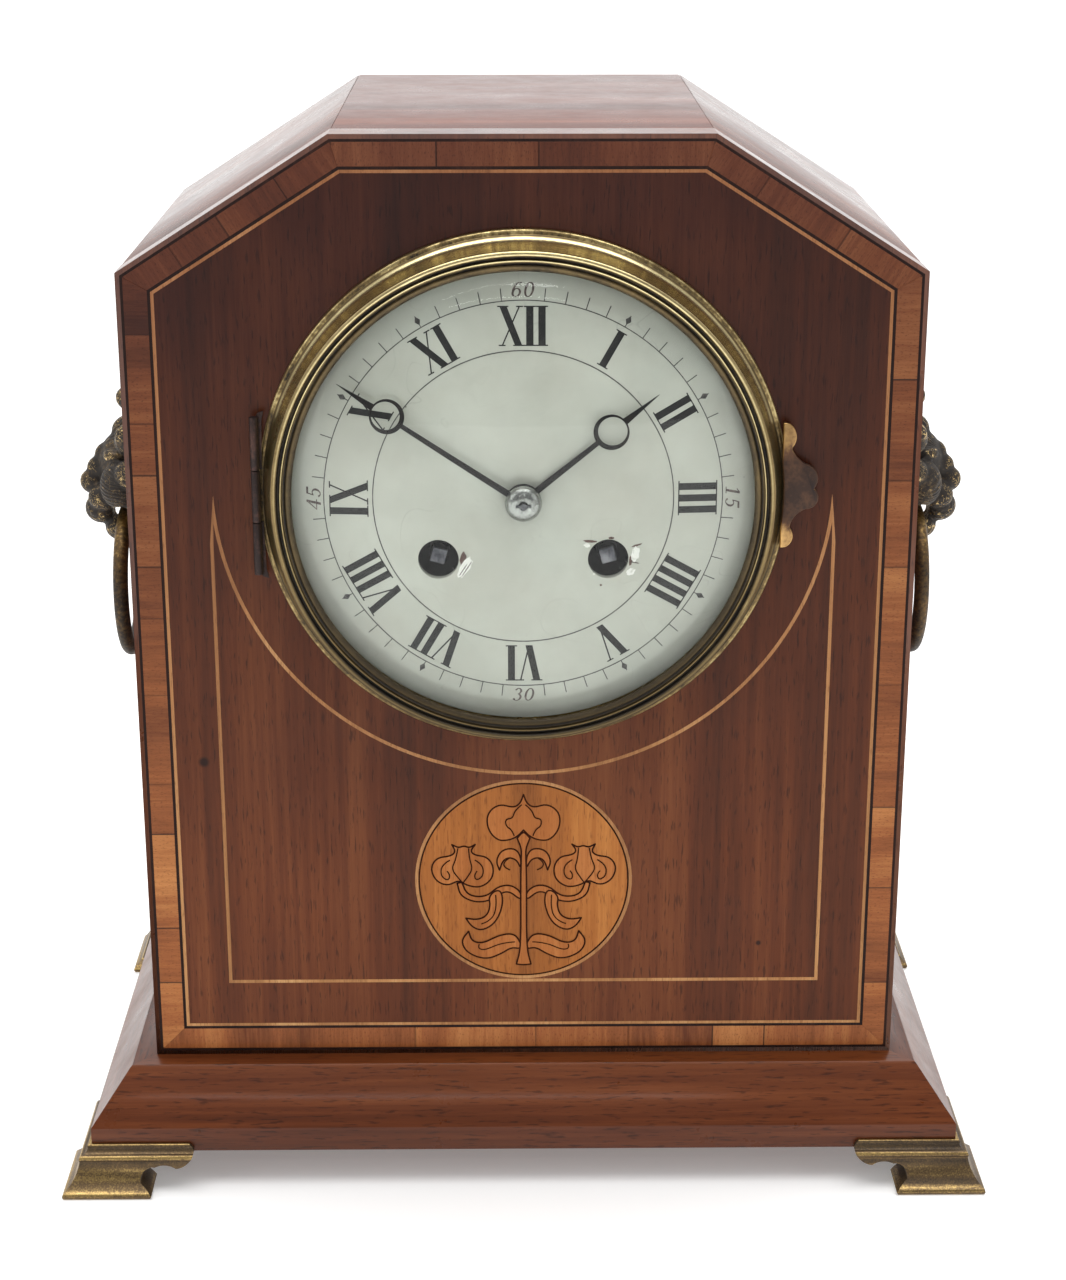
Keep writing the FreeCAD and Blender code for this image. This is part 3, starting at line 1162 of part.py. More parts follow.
def scalloped_plate(lobes):
    """Outer locks of the mane as a scalloped plate against the case side."""
    edges = []
    for i in range(lobes):
        points = []
        for step, radius in ((0, MASK_RADIUS - 1.8), (0.5, MASK_RADIUS), (1, MASK_RADIUS - 1.8)):
            y, z = polar(radius, 360 * (i + step) / lobes)
            points.append(V(CASE_HALF_WIDTH, MASK_Y + y, MASK_Z + z))
        edges.append(Part.Arc(*points).toShape())
    return Part.Face(Part.Wire(edges)).extrude(V(6.0, 0, 0))


def lion_mask():
    """Right-hand mask: scalloped mane, brow, cheeks, muzzle, chin and a mouth for the ring."""
    x = CASE_HALF_WIDTH
    head = scalloped_plate(12).fuse(mane_dome())
    nose, jaw = ball(18.4, 0, -5.7, 8.6), ball(20.0, 0, -15.6, 5.8)
    beard, tuft = ball(12.2, 0, -22.0, 5.7), ball(8.4, 0, 20.2, 5.6)
    features = [nose, jaw, beard, tuft]
    for side in (-1, 1):
        features.append(ball(15.5, side * 4.6, -10.0, 5.8))
        features.append(ball(12.5, side * 6.8, 6.5, 5.4))
    for feature in features:
        head = head.fuse(feature)
    behind = box(x - 30, x, MASK_Y - 60, MASK_Y + 60, MASK_Z - 60, MASK_Z + 60)
    mouth = Part.makeCylinder(MOUTH_RADIUS, 60, V(x + RING_OUT, MASK_Y - 30, RING_PIVOT_Z), Y_AXIS)
    return head.cut([behind, mouth])


def ring_handle():
    """Right-hand drop ring hanging through the mouth."""
    centre = V(CASE_HALF_WIDTH + RING_OUT, MASK_Y, RING_PIVOT_Z - RING_MEAN_RADIUS)
    return Part.makeTorus(RING_MEAN_RADIUS, RING_WIRE, centre, V(1, 0, 0))


def handles():
    mask, ring = lion_mask(), ring_handle()
    save("mask_right", mask)
    save("mask_left", mask.mirror(V(0, 0, 0), V(1, 0, 0)))
    save("ring_right", ring)
    save("ring_left", ring.mirror(V(0, 0, 0), V(1, 0, 0)))


def main():
    os.makedirs("parts", exist_ok=True)
    case_boards()
    front_panel()
    back_panel()
    inlay()
    plinth()
    feet()
    bezel_seat()
    bezel()
    bezel_tab()
    glass()
    dial()
    hands()
    motion_work()
    movement_plates()
    going_train()
    ratchet_clicks()
    pallets()
    pendulum()
    strike_train()
    levers()
    hammer()
    bell()
    case_straps()
    case_screws()
    back_door()
    handles()


if __name__ == "__main__":
    main()
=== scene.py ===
"""Looks of the bracket clock: its finishes, its finer pieces, the studio and the camera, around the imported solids."""
from __future__ import annotations

import logging
import math
import random
from dataclasses import dataclass, field
from enum import Enum
from typing import ClassVar, Iterable, Sequence

import bmesh
import bpy
from mathutils import Matrix, Vector


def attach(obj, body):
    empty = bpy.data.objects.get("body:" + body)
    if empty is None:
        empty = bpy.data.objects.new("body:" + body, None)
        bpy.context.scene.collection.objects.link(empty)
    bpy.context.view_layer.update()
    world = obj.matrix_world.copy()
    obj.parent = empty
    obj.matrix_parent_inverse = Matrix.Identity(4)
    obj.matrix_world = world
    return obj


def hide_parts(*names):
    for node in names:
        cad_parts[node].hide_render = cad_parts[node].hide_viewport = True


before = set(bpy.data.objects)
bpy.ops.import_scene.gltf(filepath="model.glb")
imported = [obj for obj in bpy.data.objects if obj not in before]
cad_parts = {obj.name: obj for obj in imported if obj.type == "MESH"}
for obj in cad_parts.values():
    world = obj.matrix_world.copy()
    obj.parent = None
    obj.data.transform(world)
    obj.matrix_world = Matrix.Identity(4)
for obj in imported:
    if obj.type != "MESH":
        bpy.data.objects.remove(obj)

log = logging.getLogger("bracket_clock")

MM = 0.001
FACE_DEPTH = 65.5            # how far the case face lies in front of the object's middle, in mm
DIAL_Z = 213.0               # height of the dial's centre
WHITE = (1.0, 1.0, 1.0, 1.0)
FACING = Matrix.Rotation(math.pi / 2, 4, "X")      # turns a flat form so that it faces the front

Colour = tuple[float, float, float, float]
Point = tuple[float, float]
Triple = Sequence[float]
BMesh = bmesh.types.BMesh
Verts = list[bmesh.types.BMVert]


def shade(*parts: int) -> Colour:
    """Turns red, green and blue of 0 to 255, as seen on a screen, into the shader's own linear values."""
    return (*[c / 3294.6 if c <= 10 else ((c / 255 + 0.055) / 1.055) ** 2.4 for c in parts], 1.0)


def at(x: float, depth: float, z: float) -> Vector:
    """Places a point, given in mm with its depth behind the case face, in metres in the shared frame."""
    return Vector((x, depth - FACE_DEPTH, z)) * MM


def turned(degrees: float) -> Matrix:
    """Returns a turn on the clock's front, clockwise as seen from the front."""
    return Matrix.Rotation(math.radians(degrees), 4, "Y")


# Nodes of the finishes
class Wire:
    """A node's output, with the sums and patterns that are made from it."""

    def __init__(self, graph: Graph, socket: bpy.types.NodeSocket) -> None:
        """Keeps the output and the nodes that it belongs to."""
        self.graph, self.socket = graph, socket

    def __add__(self, other: object) -> Wire:
        """Adds a value."""
        return self.graph.calc("ADD", self, other)

    def __sub__(self, other: object) -> Wire:
        """Takes a value away."""
        return self.graph.calc("SUBTRACT", self, other)

    def __rsub__(self, other: object) -> Wire:
        """Takes this away from a value."""
        return self.graph.calc("SUBTRACT", other, self)

    def __mul__(self, other: object) -> Wire:
        """Multiplies by a value."""
        return self.graph.calc("MULTIPLY", self, other)

    def __abs__(self) -> Wire:
        """Drops the sign."""
        return self.graph.calc("ABSOLUTE", self)

    def raised(self, other: object) -> Wire:
        """Adds a value and keeps the sum between 0 and 1."""
        return self.graph.calc("ADD", self, other, clamp=True)

    def axis(self, name: str) -> Wire:
        """Returns one axis of these coordinates."""
        return self.graph.node("SeparateXYZ", name, {"Vector": self})

    def length(self) -> Wire:
        """Returns the distance of these coordinates from their origin."""
        return self.graph.node("VectorMath", "Value", {0: self}, operation="LENGTH")

    def stretched(self, scale: Triple, shift: Triple = (0, 0, 0), turn: Triple = (0, 0, 0)) -> Wire:
        """Scales these coordinates, turns them by radians and shifts them."""
        return self.graph.node("Mapping", "Vector", {"Vector": self, "Scale": scale, "Location": shift,
                                                     "Rotation": turn})

    def noise(self, scale: float, detail: float = 4.0, rough: float = 0.55, twist: float = 0.0) -> Wire:
        """Makes cloudy noise around one half at these coordinates, scale cells to a metre."""
        return self.graph.node("TexNoise", "Fac", {"Vector": self, "Scale": scale, "Detail": detail,
                                                   "Roughness": rough, "Distortion": twist})

    def spread(self, low: float, high: float, out_low: float = 0.0, out_high: float = 1.0) -> Wire:
        """Maps low and high to out_low and out_high, and clamps what lies past them."""
        return self.graph.node("MapRange", "Result", {"Value": self, "From Min": low, "From Max": high,
                                                      "To Min": out_low, "To Max": out_high}, clamp=True)

    def ramp(self, *stops: tuple[float, Colour]) -> Wire:
        """Turns this value into a colour.

        Args:
            *stops: Place and colour of each stop, in order.

        Returns:
            The colour.
        """
        band = self.graph.tree.nodes.new("ShaderNodeValToRGB")
        self.graph.feed(band.inputs["Fac"], self)
        elements = band.color_ramp.elements
        elements[0].position, elements[0].color = stops[0]
        elements[1].position, elements[1].color = stops[-1]
        for place, colour in stops[1:-1]:
            elements.new(place).color = colour
        return Wire(self.graph, band.outputs["Color"])


class Graph:
    """Nodes of a material or of the room, each added by one short call."""

    def __init__(self, owner: bpy.types.Material | bpy.types.World) -> None:
        """Takes over the nodes of a material or world."""
        owner.use_nodes = True
        self.owner, self.tree = owner, owner.node_tree

    def feed(self, socket: bpy.types.NodeSocket, source: object) -> None:
        """Links a socket to a wire, or sets it to a plain value.

        Args:
            socket: Input of a node.
            source: Wire or value.
        """
        if isinstance(source, Wire):
            self.tree.links.new(source.socket, socket)
        else:
            socket.default_value = source

    def node(self, kind: str, output: str | int, sources: dict[str | int, object] | None = None,
             **properties: object) -> Wire:
        """Adds a node.

        Args:
            kind: Node type without its ShaderNode prefix.
            output: Output to return, by name or number.
            sources: What feeds its inputs, by their names or numbers.
            **properties: Node properties to set.

        Returns:
            The chosen output.
        """
        made = self.tree.nodes.new("ShaderNode" + kind)
        for key, value in properties.items():
            setattr(made, key, value)
        for key, source in (sources or {}).items():
            self.feed(made.inputs[key], source)
        return Wire(self, made.outputs[output])

    def place(self) -> Wire:
        """Returns the object coordinates in metres."""
        return self.node("TexCoord", "Object")

    def uv(self, layer: str) -> Wire:
        """Returns coordinates stored on the mesh."""
        return self.node("UVMap", "UV", uv_map=layer)

    def attribute(self, name: str) -> Wire:
        """Returns a number stored on the mesh."""
        return self.node("Attribute", "Fac", attribute_name=name)

    def calc(self, operation: str, first: object, second: object = 0.0, clamp: bool = False) -> Wire:
        """Does one sum of a Math node, kept between 0 and 1 where clamp is set."""
        return self.node("Math", "Value", {0: first, 1: second}, operation=operation, use_clamp=clamp)

    def mix(self, share: object, first: object, second: object, mode: str = "MIX") -> Wire:
        """Mixes two colours by the second one's share."""
        return self.node("Mix", 2, {0: share, 6: first, 7: second}, data_type="RGBA", blend_type=mode)

    def worn_edges(self, low: float = 0.51, high: float = 0.58) -> Wire:
        """Returns 1 on sharp outer edges and 0 elsewhere."""
        return self.node("NewGeometry", "Pointiness").spread(low, high)

    def show(self, share: Wire, first: Wire, second: Wire, output: str) -> None:
        """Sends a mix of two shaders to the output node of that name."""
        both = self.node("MixShader", "Shader", {"Fac": share, 1: first, 2: second})
        self.feed(self.tree.nodes[output].inputs["Surface"], both)


class Paint(Graph):
    """A material round one principled shader."""

    def __init__(self, name: str, settings: dict[str, object]) -> None:
        """Starts a material.

        Args:
            name: Material name.
            settings: Values that are the same all over the surface, by socket name.
        """
        super().__init__(bpy.data.materials.new(name))
        self.shader = self.tree.nodes["Principled BSDF"]
        for socket, value in settings.items():
            self.shader.inputs[socket].default_value = value

    def relief(self, height: Wire, distance: float, strength: float) -> None:
        """Gives the shader a bump, whose full height is a distance in metres."""
        bump = self.node("Bump", "Normal", {"Height": height, "Distance": distance, "Strength": strength})
        self.feed(self.shader.inputs["Normal"], bump)

    def paint(self, **sockets: object) -> bpy.types.Material:
        """Feeds sockets of the shader.

        Args:
            sockets: Wires or values by socket names, with underscores for spaces.

        Returns:
            The material.
        """
        for name, source in sockets.items():
            self.feed(self.shader.inputs[name.replace("_", " ")], source)
        return self.owner


# Kinds of finish
class Grain(Enum):
    """Direction of a board's grain, as the factors that stretch noise along it."""

    UPRIGHT = (1.0, 1.0, 0.028)
    ACROSS = (0.028, 1.0, 1.0)
    BACKWARD = (1.0, 0.028, 1.0)
    AROUND_PLINTH = (0.0, 0.0, 0.0)
    ALONG_STRIP = (1.0, 0.07, 1.0)


class Finish:
    """A finish of the clock, whose material is made once and then shared."""

    made: ClassVar[dict[str, bpy.types.Material]] = {}
    name: str

    def build(self) -> bpy.types.Material:
        """Makes the material."""
        raise NotImplementedError

    def material(self) -> bpy.types.Material:
        """Makes the finish's material on its first use.

        Returns:
            The material.
        """
        if self.name not in Finish.made:
            Finish.made[self.name] = self.build()
        return Finish.made[self.name]


@dataclass(frozen=True)
class PolishedWood(Finish):
    """French-polished wood with fibres, pores, ribbon figure and painted shade and light that change with height."""

    name: str
    dark: Colour
    middle: Colour
    light: Colour
    # painted shade at the top and painted light at the bottom, as factors on the colour
    painted_shade_top: Colour = WHITE
    painted_light_bottom: Colour = WHITE
    grain: Grain = Grain.UPRIGHT
    fineness: float = 420.0
    gloss: float = 0.3
    coat: float = 0.5
    pore_depth: float = 0.00004
    shine: float = 0.3
    uses_tone: bool = False
    streaks: float = 0.22            # weight of the narrow streaks
    marks: tuple[tuple[float, float, float, float], ...] = ()      # dark spots: x, y and z in mm, and their radius
    plinth_half: ClassVar[Point] = (0.1125, 0.077)      # where the mitre of the plinth starts, across and back
    plinth_middle: ClassVar[float] = 0.0115
    joint_dark: ClassVar[Colour] = shade(30, 16, 12)
    mark_dark: ClassVar[Colour] = shade(28, 14, 10)

    def grain_place(self, graph: Graph, shorter: float = 1.0) -> Wire:
        """Finds the coordinates that run with the grain.

        Args:
            graph: The material's nodes.
            shorter: How many times shorter the pattern is along the grain.

        Returns:
            Coordinates stretched along the grain.
        """
        def along(source: Wire, grain: Grain, shift: Triple = (0, 0, 0)) -> Wire:
            """Stretches coordinates along one direction."""
            return source.stretched([value if value == 1.0 else value * shorter for value in grain.value], shift)

        if self.grain is Grain.ALONG_STRIP:
            return along(graph.uv("UVMap"), self.grain)
        place = graph.place()
        if self.grain is not Grain.AROUND_PLINTH:
            return along(place, self.grain)
        beside = abs(place.axis("X")) - self.plinth_half[0]
        before = abs(place.axis("Y") - self.plinth_middle) - self.plinth_half[1]
        on_side = graph.calc("GREATER_THAN", beside, before)
        return graph.mix(on_side, along(place, Grain.ACROSS), along(place, Grain.BACKWARD, (0.4, 0.7, 0.0)))

    def build(self) -> bpy.types.Material:
        """Makes the wood's material.

        Returns:
            The material.
        """
        graph = Paint(self.name, {"Roughness": self.gloss, "Coat Weight": self.coat, "Coat Roughness": 0.1,
                                  "Specular IOR Level": self.shine})
        place, with_grain = graph.place(), self.grain_place(graph)
        fibre = with_grain.noise(self.fineness, 6.0, 0.68, 0.25)
        streak = with_grain.noise(self.fineness * 0.13, 4.0, 0.6, 0.8)
        ribbon = with_grain.noise(self.fineness * 0.035, 2.0, 0.5, 1.6)
        figure = fibre * 0.34 + streak * self.streaks + ribbon * (0.66 - self.streaks)
        if self.uses_tone:
            figure = figure + (graph.attribute("tone") - 0.5) * 0.13
        body = figure.ramp((0.31, self.dark), (0.50, self.middle), (0.69, self.light))
        if self.uses_tone:
            ends = graph.uv("ends")
            nearest = graph.calc("MINIMUM", ends.axis("X"), ends.axis("Y"))
            open_joint = graph.attribute("tone").spread(0.45, 0.9, 0.25, 0.95)
            body = graph.mix(nearest.spread(0.00042, 0.0002) * open_joint, body, self.joint_dark)
        pores = self.grain_place(graph, 4.0).noise(self.fineness * 3.6, 2.0, 0.5).spread(0.58, 0.68)
        body = graph.mix(pores * 0.6, body, self.dark)
        for x, y, z, radius in self.marks:
            away = place.stretched((1, 1, 1), (-x * MM, -y * MM, -z * MM)).length()
            body = graph.mix(away.spread(radius * 1.3 * MM, radius * 0.6 * MM) * 0.85, body, self.mark_dark)
        # painted shade towards the top and painted light towards the bottom, by height with a little cloud
        height = place.axis("Z").spread(0.06, 0.30).raised((place.noise(14.0, 3.0) - 0.5) * 0.7)
        body = graph.mix(1.0, body, graph.mix(height, self.painted_light_bottom, self.painted_shade_top), "MULTIPLY")
        graph.relief(1.0 - (pores * 0.7 + fibre * 0.3), self.pore_depth, 0.6)
        smears = place.noise(45.0, 5.0, 0.7)
        return graph.paint(Base_Color=body, Roughness=smears.spread(0.3, 0.75, self.gloss - 0.07, self.gloss + 0.12))


class Wear(Enum):
    """Where the polish of a piece of brass survives; on the bezel its rings also paint highlight and shade."""

    EVEN = "even"
    BY_RADIUS = "by radius"
    BY_HEIGHT = "by height"


@dataclass(frozen=True)
class Brass(Finish):
    """Lacquered or bare brass, with tarnish in its hollows, polish on its edges and, on some pieces, painted shade
    below.
    """

    name: str
    bright: Colour
    worn: Colour
    tarnish: Colour
    wear: Wear = Wear.EVEN
    stops: tuple[Point, ...] = ()    # how polished it is between start and end
    start: float = 0.0
    end: float = 1.0
    painted_shade_below: Triple | None = None       # painted shade that dims the polish towards the bottom: height of full shade, height of none, and its most
    tarnish_share: float = 0.35
    edge_polish: float = 0.6
    rough: float = 0.26
    pits: float = 0.00006
    mottle: float = 1.6              # how far patches and specks move the polish
    speckle: float = 0.3             # share of fine specks in the mottling
    speck_scale: float = 900.0
    etched: float = 0.0              # polish of etched lines on swelling forms
    steel_before: float | None = None      # depth in front of which an arbor is steel
    hair_lines: bool = False
    mask_middle: ClassVar[Point] = (79.0, 199.0)     # depth and height that the masks' hair runs out from
    chasing: ClassVar[float] = 0.0005

    def level(self, place: Wire) -> Wire | None:
        """Works out how polished each place is, from its radius or height.

        Args:
            place: Object coordinates.

        Returns:
            0 for tarnished to 1 for bright, or None where the wear is even.
        """
        if self.wear is Wear.EVEN:
            return None
        source = place.axis("Z")
        if self.wear is Wear.BY_RADIUS:
            source = place.stretched((1, 0, 1), (0, 0, -DIAL_Z * MM)).length()
        return source.spread(self.start * MM, self.end * MM).ramp(
            *[(where, (value, value, value, 1.0)) for where, value in self.stops])

    def build(self) -> bpy.types.Material:
        """Makes the brass's material.

        Returns:
            The material.
        """
        graph = Paint(self.name, {"Metallic": 1.0, "Roughness": self.rough})
        place = graph.place()
        patches = place.noise(90.0, 6.0, 0.66, 0.6)
        specks = place.noise(self.speck_scale, 3.0, 0.6)
        share = patches * (1 - self.speckle) + specks * self.speckle
        level = self.level(place)
        if level is None:
            less = self.tarnish_share * 0.45
            polish = share.spread(0.26 + less, 0.50 + less)
        else:
            polish = level.raised((share - 0.5) * self.mottle)
        # painted shade: the polish dims towards the bottom, so the top looks lit from above
        if self.painted_shade_below is not None:
            low, high, most = self.painted_shade_below
            polish = polish * place.axis("Z").spread(low * MM, high * MM, 1.0 - most, 1.0)
        polish = polish.raised(graph.worn_edges() * self.edge_polish)
        if self.etched:
            lines = abs(place.noise(560.0, 1.0, twist=1.2) - 0.5).spread(0.03, 0.006)
            polish = polish.raised(lines * graph.worn_edges(0.501, 0.516) * self.etched)
        colour = polish.ramp((0.0, self.tarnish), (0.45, self.worn), (1.0, self.bright))
        if self.steel_before is not None:
            edge = (self.steel_before - FACE_DEPTH) * MM
            colour = graph.mix(place.axis("Y").spread(edge + 0.0002, edge), colour, shade(92, 92, 96))
        height = patches * 0.5 + specks * 0.5
        if self.hair_lines:
            height = self.combed(place, height)
        graph.relief(height, self.chasing if self.hair_lines else self.pits, 0.7)
        return graph.paint(Base_Color=colour, Roughness=polish.spread(0.0, 1.0, self.rough + 0.26, self.rough),
                           Metallic=polish.spread(0.0, 0.6, 0.55, 1.0))

    def combed(self, place: Wire, height: Wire) -> Wire:
        """Adds chased hair lines that run out from the middle of each mask.

        Args:
            place: Object coordinates.
            height: Height of the plain surface.

        Returns:
            The height with the lines cut in.
        """
        depth, up = self.mask_middle
        centred = place.stretched((0, 1, 1), (0, (FACE_DEPTH - depth) * MM, -up * MM))
        turn = place.graph.calc("ARCTAN2", centred.axis("Y"), centred.axis("Z")) + place.noise(70.0, 1.0) * 0.9
        away = centred.length().spread(0.009, 0.014) * 0.35
        return height * 0.25 + place.graph.calc("SINE", turn * 58.0) * away


@dataclass(frozen=True)
class Steel(Finish):
    """Steel, blackened, blued or bright, with fine scratches, and painted shade where it sits deep in a hole."""

    name: str
    colour: Colour
    stain: Colour
    rough: float = 0.28
    metal: float = 1.0
    tip: float | None = None         # depth in mm behind which the steel is painted near-black as painted shade deep in the winding hole

    def build(self) -> bpy.types.Material:
        """Makes the steel's material.

        Returns:
            The material.
        """
        graph = Paint(self.name, {"Metallic": self.metal, "Roughness": self.rough})
        place = graph.place()
        fine = place.stretched((1, 1, 0.2)).noise(2600.0, 2.0)
        share = (place.noise(160.0, 6.0, 0.65) * 0.8 + fine * 0.2).spread(0.42, 0.62)
        colour = graph.mix(share, self.colour, self.stain)
        # painted shade: behind the depth the arbor is painted near-black
        if self.tip is not None:
            edge = (self.tip - FACE_DEPTH) * MM
            colour = graph.mix(place.axis("Y").spread(edge, edge + 0.0006), colour, shade(14, 14, 17))
        graph.relief(fine, 0.00002, 0.5)
        return graph.paint(Base_Color=colour, Roughness=share.spread(0.0, 1.0, self.rough, self.rough + 0.16))


@dataclass(frozen=True)
class Enamel(Finish):
    """Fired white enamel with faint crazing, specks and yellowed patches."""

    name: str = "dial_enamel"
    white: Colour = shade(204, 207, 197)
    aged: Colour = shade(189, 189, 178)
    speck: Colour = shade(92, 86, 78)

    def build(self) -> bpy.types.Material:
        """Makes the enamel's material.

        Returns:
            The material.
        """
        graph = Paint(self.name, {"Roughness": 0.16, "Coat Weight": 0.4, "Coat Roughness": 0.08})
        place = graph.place()
        cloud = place.noise(30.0, 5.0, 0.6)
        body = graph.mix(cloud.spread(0.35, 0.7), self.white, self.aged)
        spots = graph.node("TexVoronoi", "Distance", {"Vector": place, "Scale": 260.0}).spread(0.09, 0.05)
        body = graph.mix(spots * place.noise(60.0, 1.0).spread(0.60, 0.68) * 0.75, body, self.speck)
        hair = place.stretched((1, 1, 1), turn=(0.3, 0.4, 0.8)).noise(22.0, 1.0, twist=2.0)
        body = graph.mix(abs(hair - 0.5).spread(0.0016, 0.0) * 0.16, body, self.speck)
        graph.relief(cloud, 0.00012, 0.25)
        return graph.paint(Base_Color=body, Roughness=cloud.spread(0.3, 0.7, 0.12, 0.2))


@dataclass(frozen=True)
class Ink(Finish):
    """Fired ink of the dial, a little broken where it has worn."""

    name: str
    colour: Colour
    thin: Colour
    rough: float = 0.3

    def build(self) -> bpy.types.Material:
        """Makes the ink's material.

        Returns:
            The material.
        """
        graph = Paint(self.name, {"Roughness": self.rough})
        cloud = graph.place().noise(700.0, 4.0, 0.7)
        graph.relief(cloud, 0.00001, 0.3)
        return graph.paint(Base_Color=graph.mix(cloud.spread(0.5, 0.72), self.colour, self.thin),
                           Roughness=cloud.spread(0.3, 0.7, self.rough - 0.05, self.rough + 0.15))


@dataclass(frozen=True)
class OldGlass(Finish):
    """Thin old glass that is clear to the studio's lamps, with a slight ripple."""

    name: str = "clock_glass"
    bend: float = 1.26

    def build(self) -> bpy.types.Material:
        """Makes the glass's material.

        Returns:
            The material.
        """
        graph = Paint(self.name, {"Transmission Weight": 1.0, "IOR": self.bend, "Roughness": 0.02})
        place = graph.place()
        graph.relief(place.noise(28.0, 2.0), 0.0002, 0.12)
        smudge = place.noise(55.0, 5.0, 0.7)
        tint = graph.mix(smudge.spread(0.4, 0.7), shade(250, 252, 249), shade(243, 246, 243))
        graph.paint(Base_Color=tint, Roughness=smudge.spread(0.4, 0.75, 0.0, 0.045))
        graph.show(graph.node("LightPath", "Is Shadow Ray"), Wire(graph, graph.shader.outputs["BSDF"]),
                   graph.node("BsdfTransparent", "BSDF"), "Material Output")
        return graph.owner


MAHOGANY_DARK = shade(46, 21, 11)
MAHOGANY = shade(102, 53, 27)
MAHOGANY_LIGHT = shade(140, 84, 47)
# painted shade at the top and painted light at the bottom of the front field
FIELD_PAINTED_SHADE_TOP = (0.26, 0.185, 0.25, 1.0)
FIELD_PAINTED_LIGHT_BOTTOM = (0.98, 0.92, 0.84, 1.0)
SIDE_TINT = (0.9, 0.78, 0.72, 1.0)

FIELD_WOOD = PolishedWood("mahogany_field", MAHOGANY_DARK, MAHOGANY, MAHOGANY_LIGHT, FIELD_PAINTED_SHADE_TOP, FIELD_PAINTED_LIGHT_BOTTOM,
                          gloss=0.4, coat=0.06, shine=0.16,
                          marks=((-94.0, -65.5, 131.0, 1.5), (-60.5, -65.5, 212.0, 0.7), (71.0, -65.5, 71.5, 0.8)))
SIDE_WOOD = PolishedWood("mahogany_side", MAHOGANY_DARK, MAHOGANY, MAHOGANY_LIGHT, SIDE_TINT, SIDE_TINT, gloss=0.28,
                         coat=0.45, shine=0.4)
TOP_WOOD = PolishedWood("mahogany_top", shade(54, 25, 18), shade(106, 56, 41), shade(142, 84, 62),
                        grain=Grain.ACROSS, gloss=0.3, coat=0.3, shine=0.35,
                        marks=((-40.0, -54.0, 313.4, 0.9), (-14.5, 86.0, 313.4, 0.8), (-14.5, 88.5, 312.4, 0.9)))
PLINTH_WOOD = PolishedWood("mahogany_plinth", shade(42, 18, 8), shade(95, 47, 22), shade(131, 73, 38),
                           grain=Grain.AROUND_PLINTH, gloss=0.32, coat=0.16, shine=0.22)
# painted shade towards the top and painted light towards the bottom of the crossbanding
CROSSBAND_WOOD = PolishedWood("crossband_rosewood", shade(96, 46, 20), shade(150, 84, 42), shade(190, 122, 68),
                              painted_shade_top=(0.31, 0.26, 0.36, 1.0), painted_light_bottom=(1.18, 1.28, 1.3, 1.0),
                              grain=Grain.ALONG_STRIP, fineness=900.0, gloss=0.36, coat=0.08, shine=0.18,
                              uses_tone=True, streaks=0.16)
# the edge bead and the boxwood strings darken towards the top by painted shade
EDGE_WOOD = PolishedWood("edge_bead", shade(58, 30, 20), shade(104, 62, 42), shade(140, 92, 66),
                         painted_shade_top=(0.7, 0.62, 0.66, 1.0), gloss=0.3, coat=0.3, shine=0.3)
BOXWOOD = PolishedWood("boxwood_string", shade(134, 88, 48), shade(186, 132, 80), shade(216, 168, 112),
                       painted_shade_top=(0.58, 0.48, 0.5, 1.0), fineness=900.0, gloss=0.36, coat=0.08, shine=0.2)
EBONY = PolishedWood("ebony_line", shade(22, 12, 10), shade(36, 20, 16), shade(58, 34, 26), fineness=1400.0,
                     gloss=0.42, coat=0.0, shine=0.12)
SATINWOOD = PolishedWood("roundel_ground", shade(118, 66, 26), shade(170, 102, 44), shade(206, 138, 70),
                         fineness=620.0, gloss=0.4, coat=0.05, shine=0.16, streaks=0.16)
PETAL_WOOD = PolishedWood("marquetry_petal", shade(142, 82, 37), shade(176, 106, 53), shade(206, 138, 80),
                          fineness=700.0, gloss=0.42, coat=0.0, shine=0.14, streaks=0.16)
PETAL_LINE = PolishedWood("marquetry_line", shade(34, 14, 6), shade(52, 24, 11), shade(76, 38, 18),
                          fineness=900.0, gloss=0.6, coat=0.0, shine=0.05)
PINE = PolishedWood("old_pine", shade(96, 62, 34), shade(150, 108, 66), shade(182, 142, 96), gloss=0.62,
                    coat=0.0, fineness=230.0)

# rings by radius: tarnish in the grooves, and bright and dark rings that paint the highlights and shade of the turned
# steps
BEZEL_BRASS = Brass("bezel_brass", bright=shade(255, 240, 184), worn=shade(134, 114, 76), tarnish=shade(34, 30, 27),
                    wear=Wear.BY_RADIUS, start=64.0, end=76.0,
                    stops=((0.0, 0.02), (0.10, 0.06), (0.16, 0.12), (0.20, 0.0), (0.27, 0.05), (0.30, 0.66),
                           (0.345, 0.6), (0.37, 0.0), (0.43, 0.1), (0.47, 0.85), (0.52, 0.5), (0.56, 0.9),
                           (0.63, 0.95), (0.74, 0.85), (0.785, 0.05), (0.82, 0.7), (1.0, 0.7)),
                    # painted shade that dims the bezel towards the bottom
                    painted_shade_below=(150.0, 280.0, 0.72), edge_polish=0.2, rough=0.2, mottle=0.7)
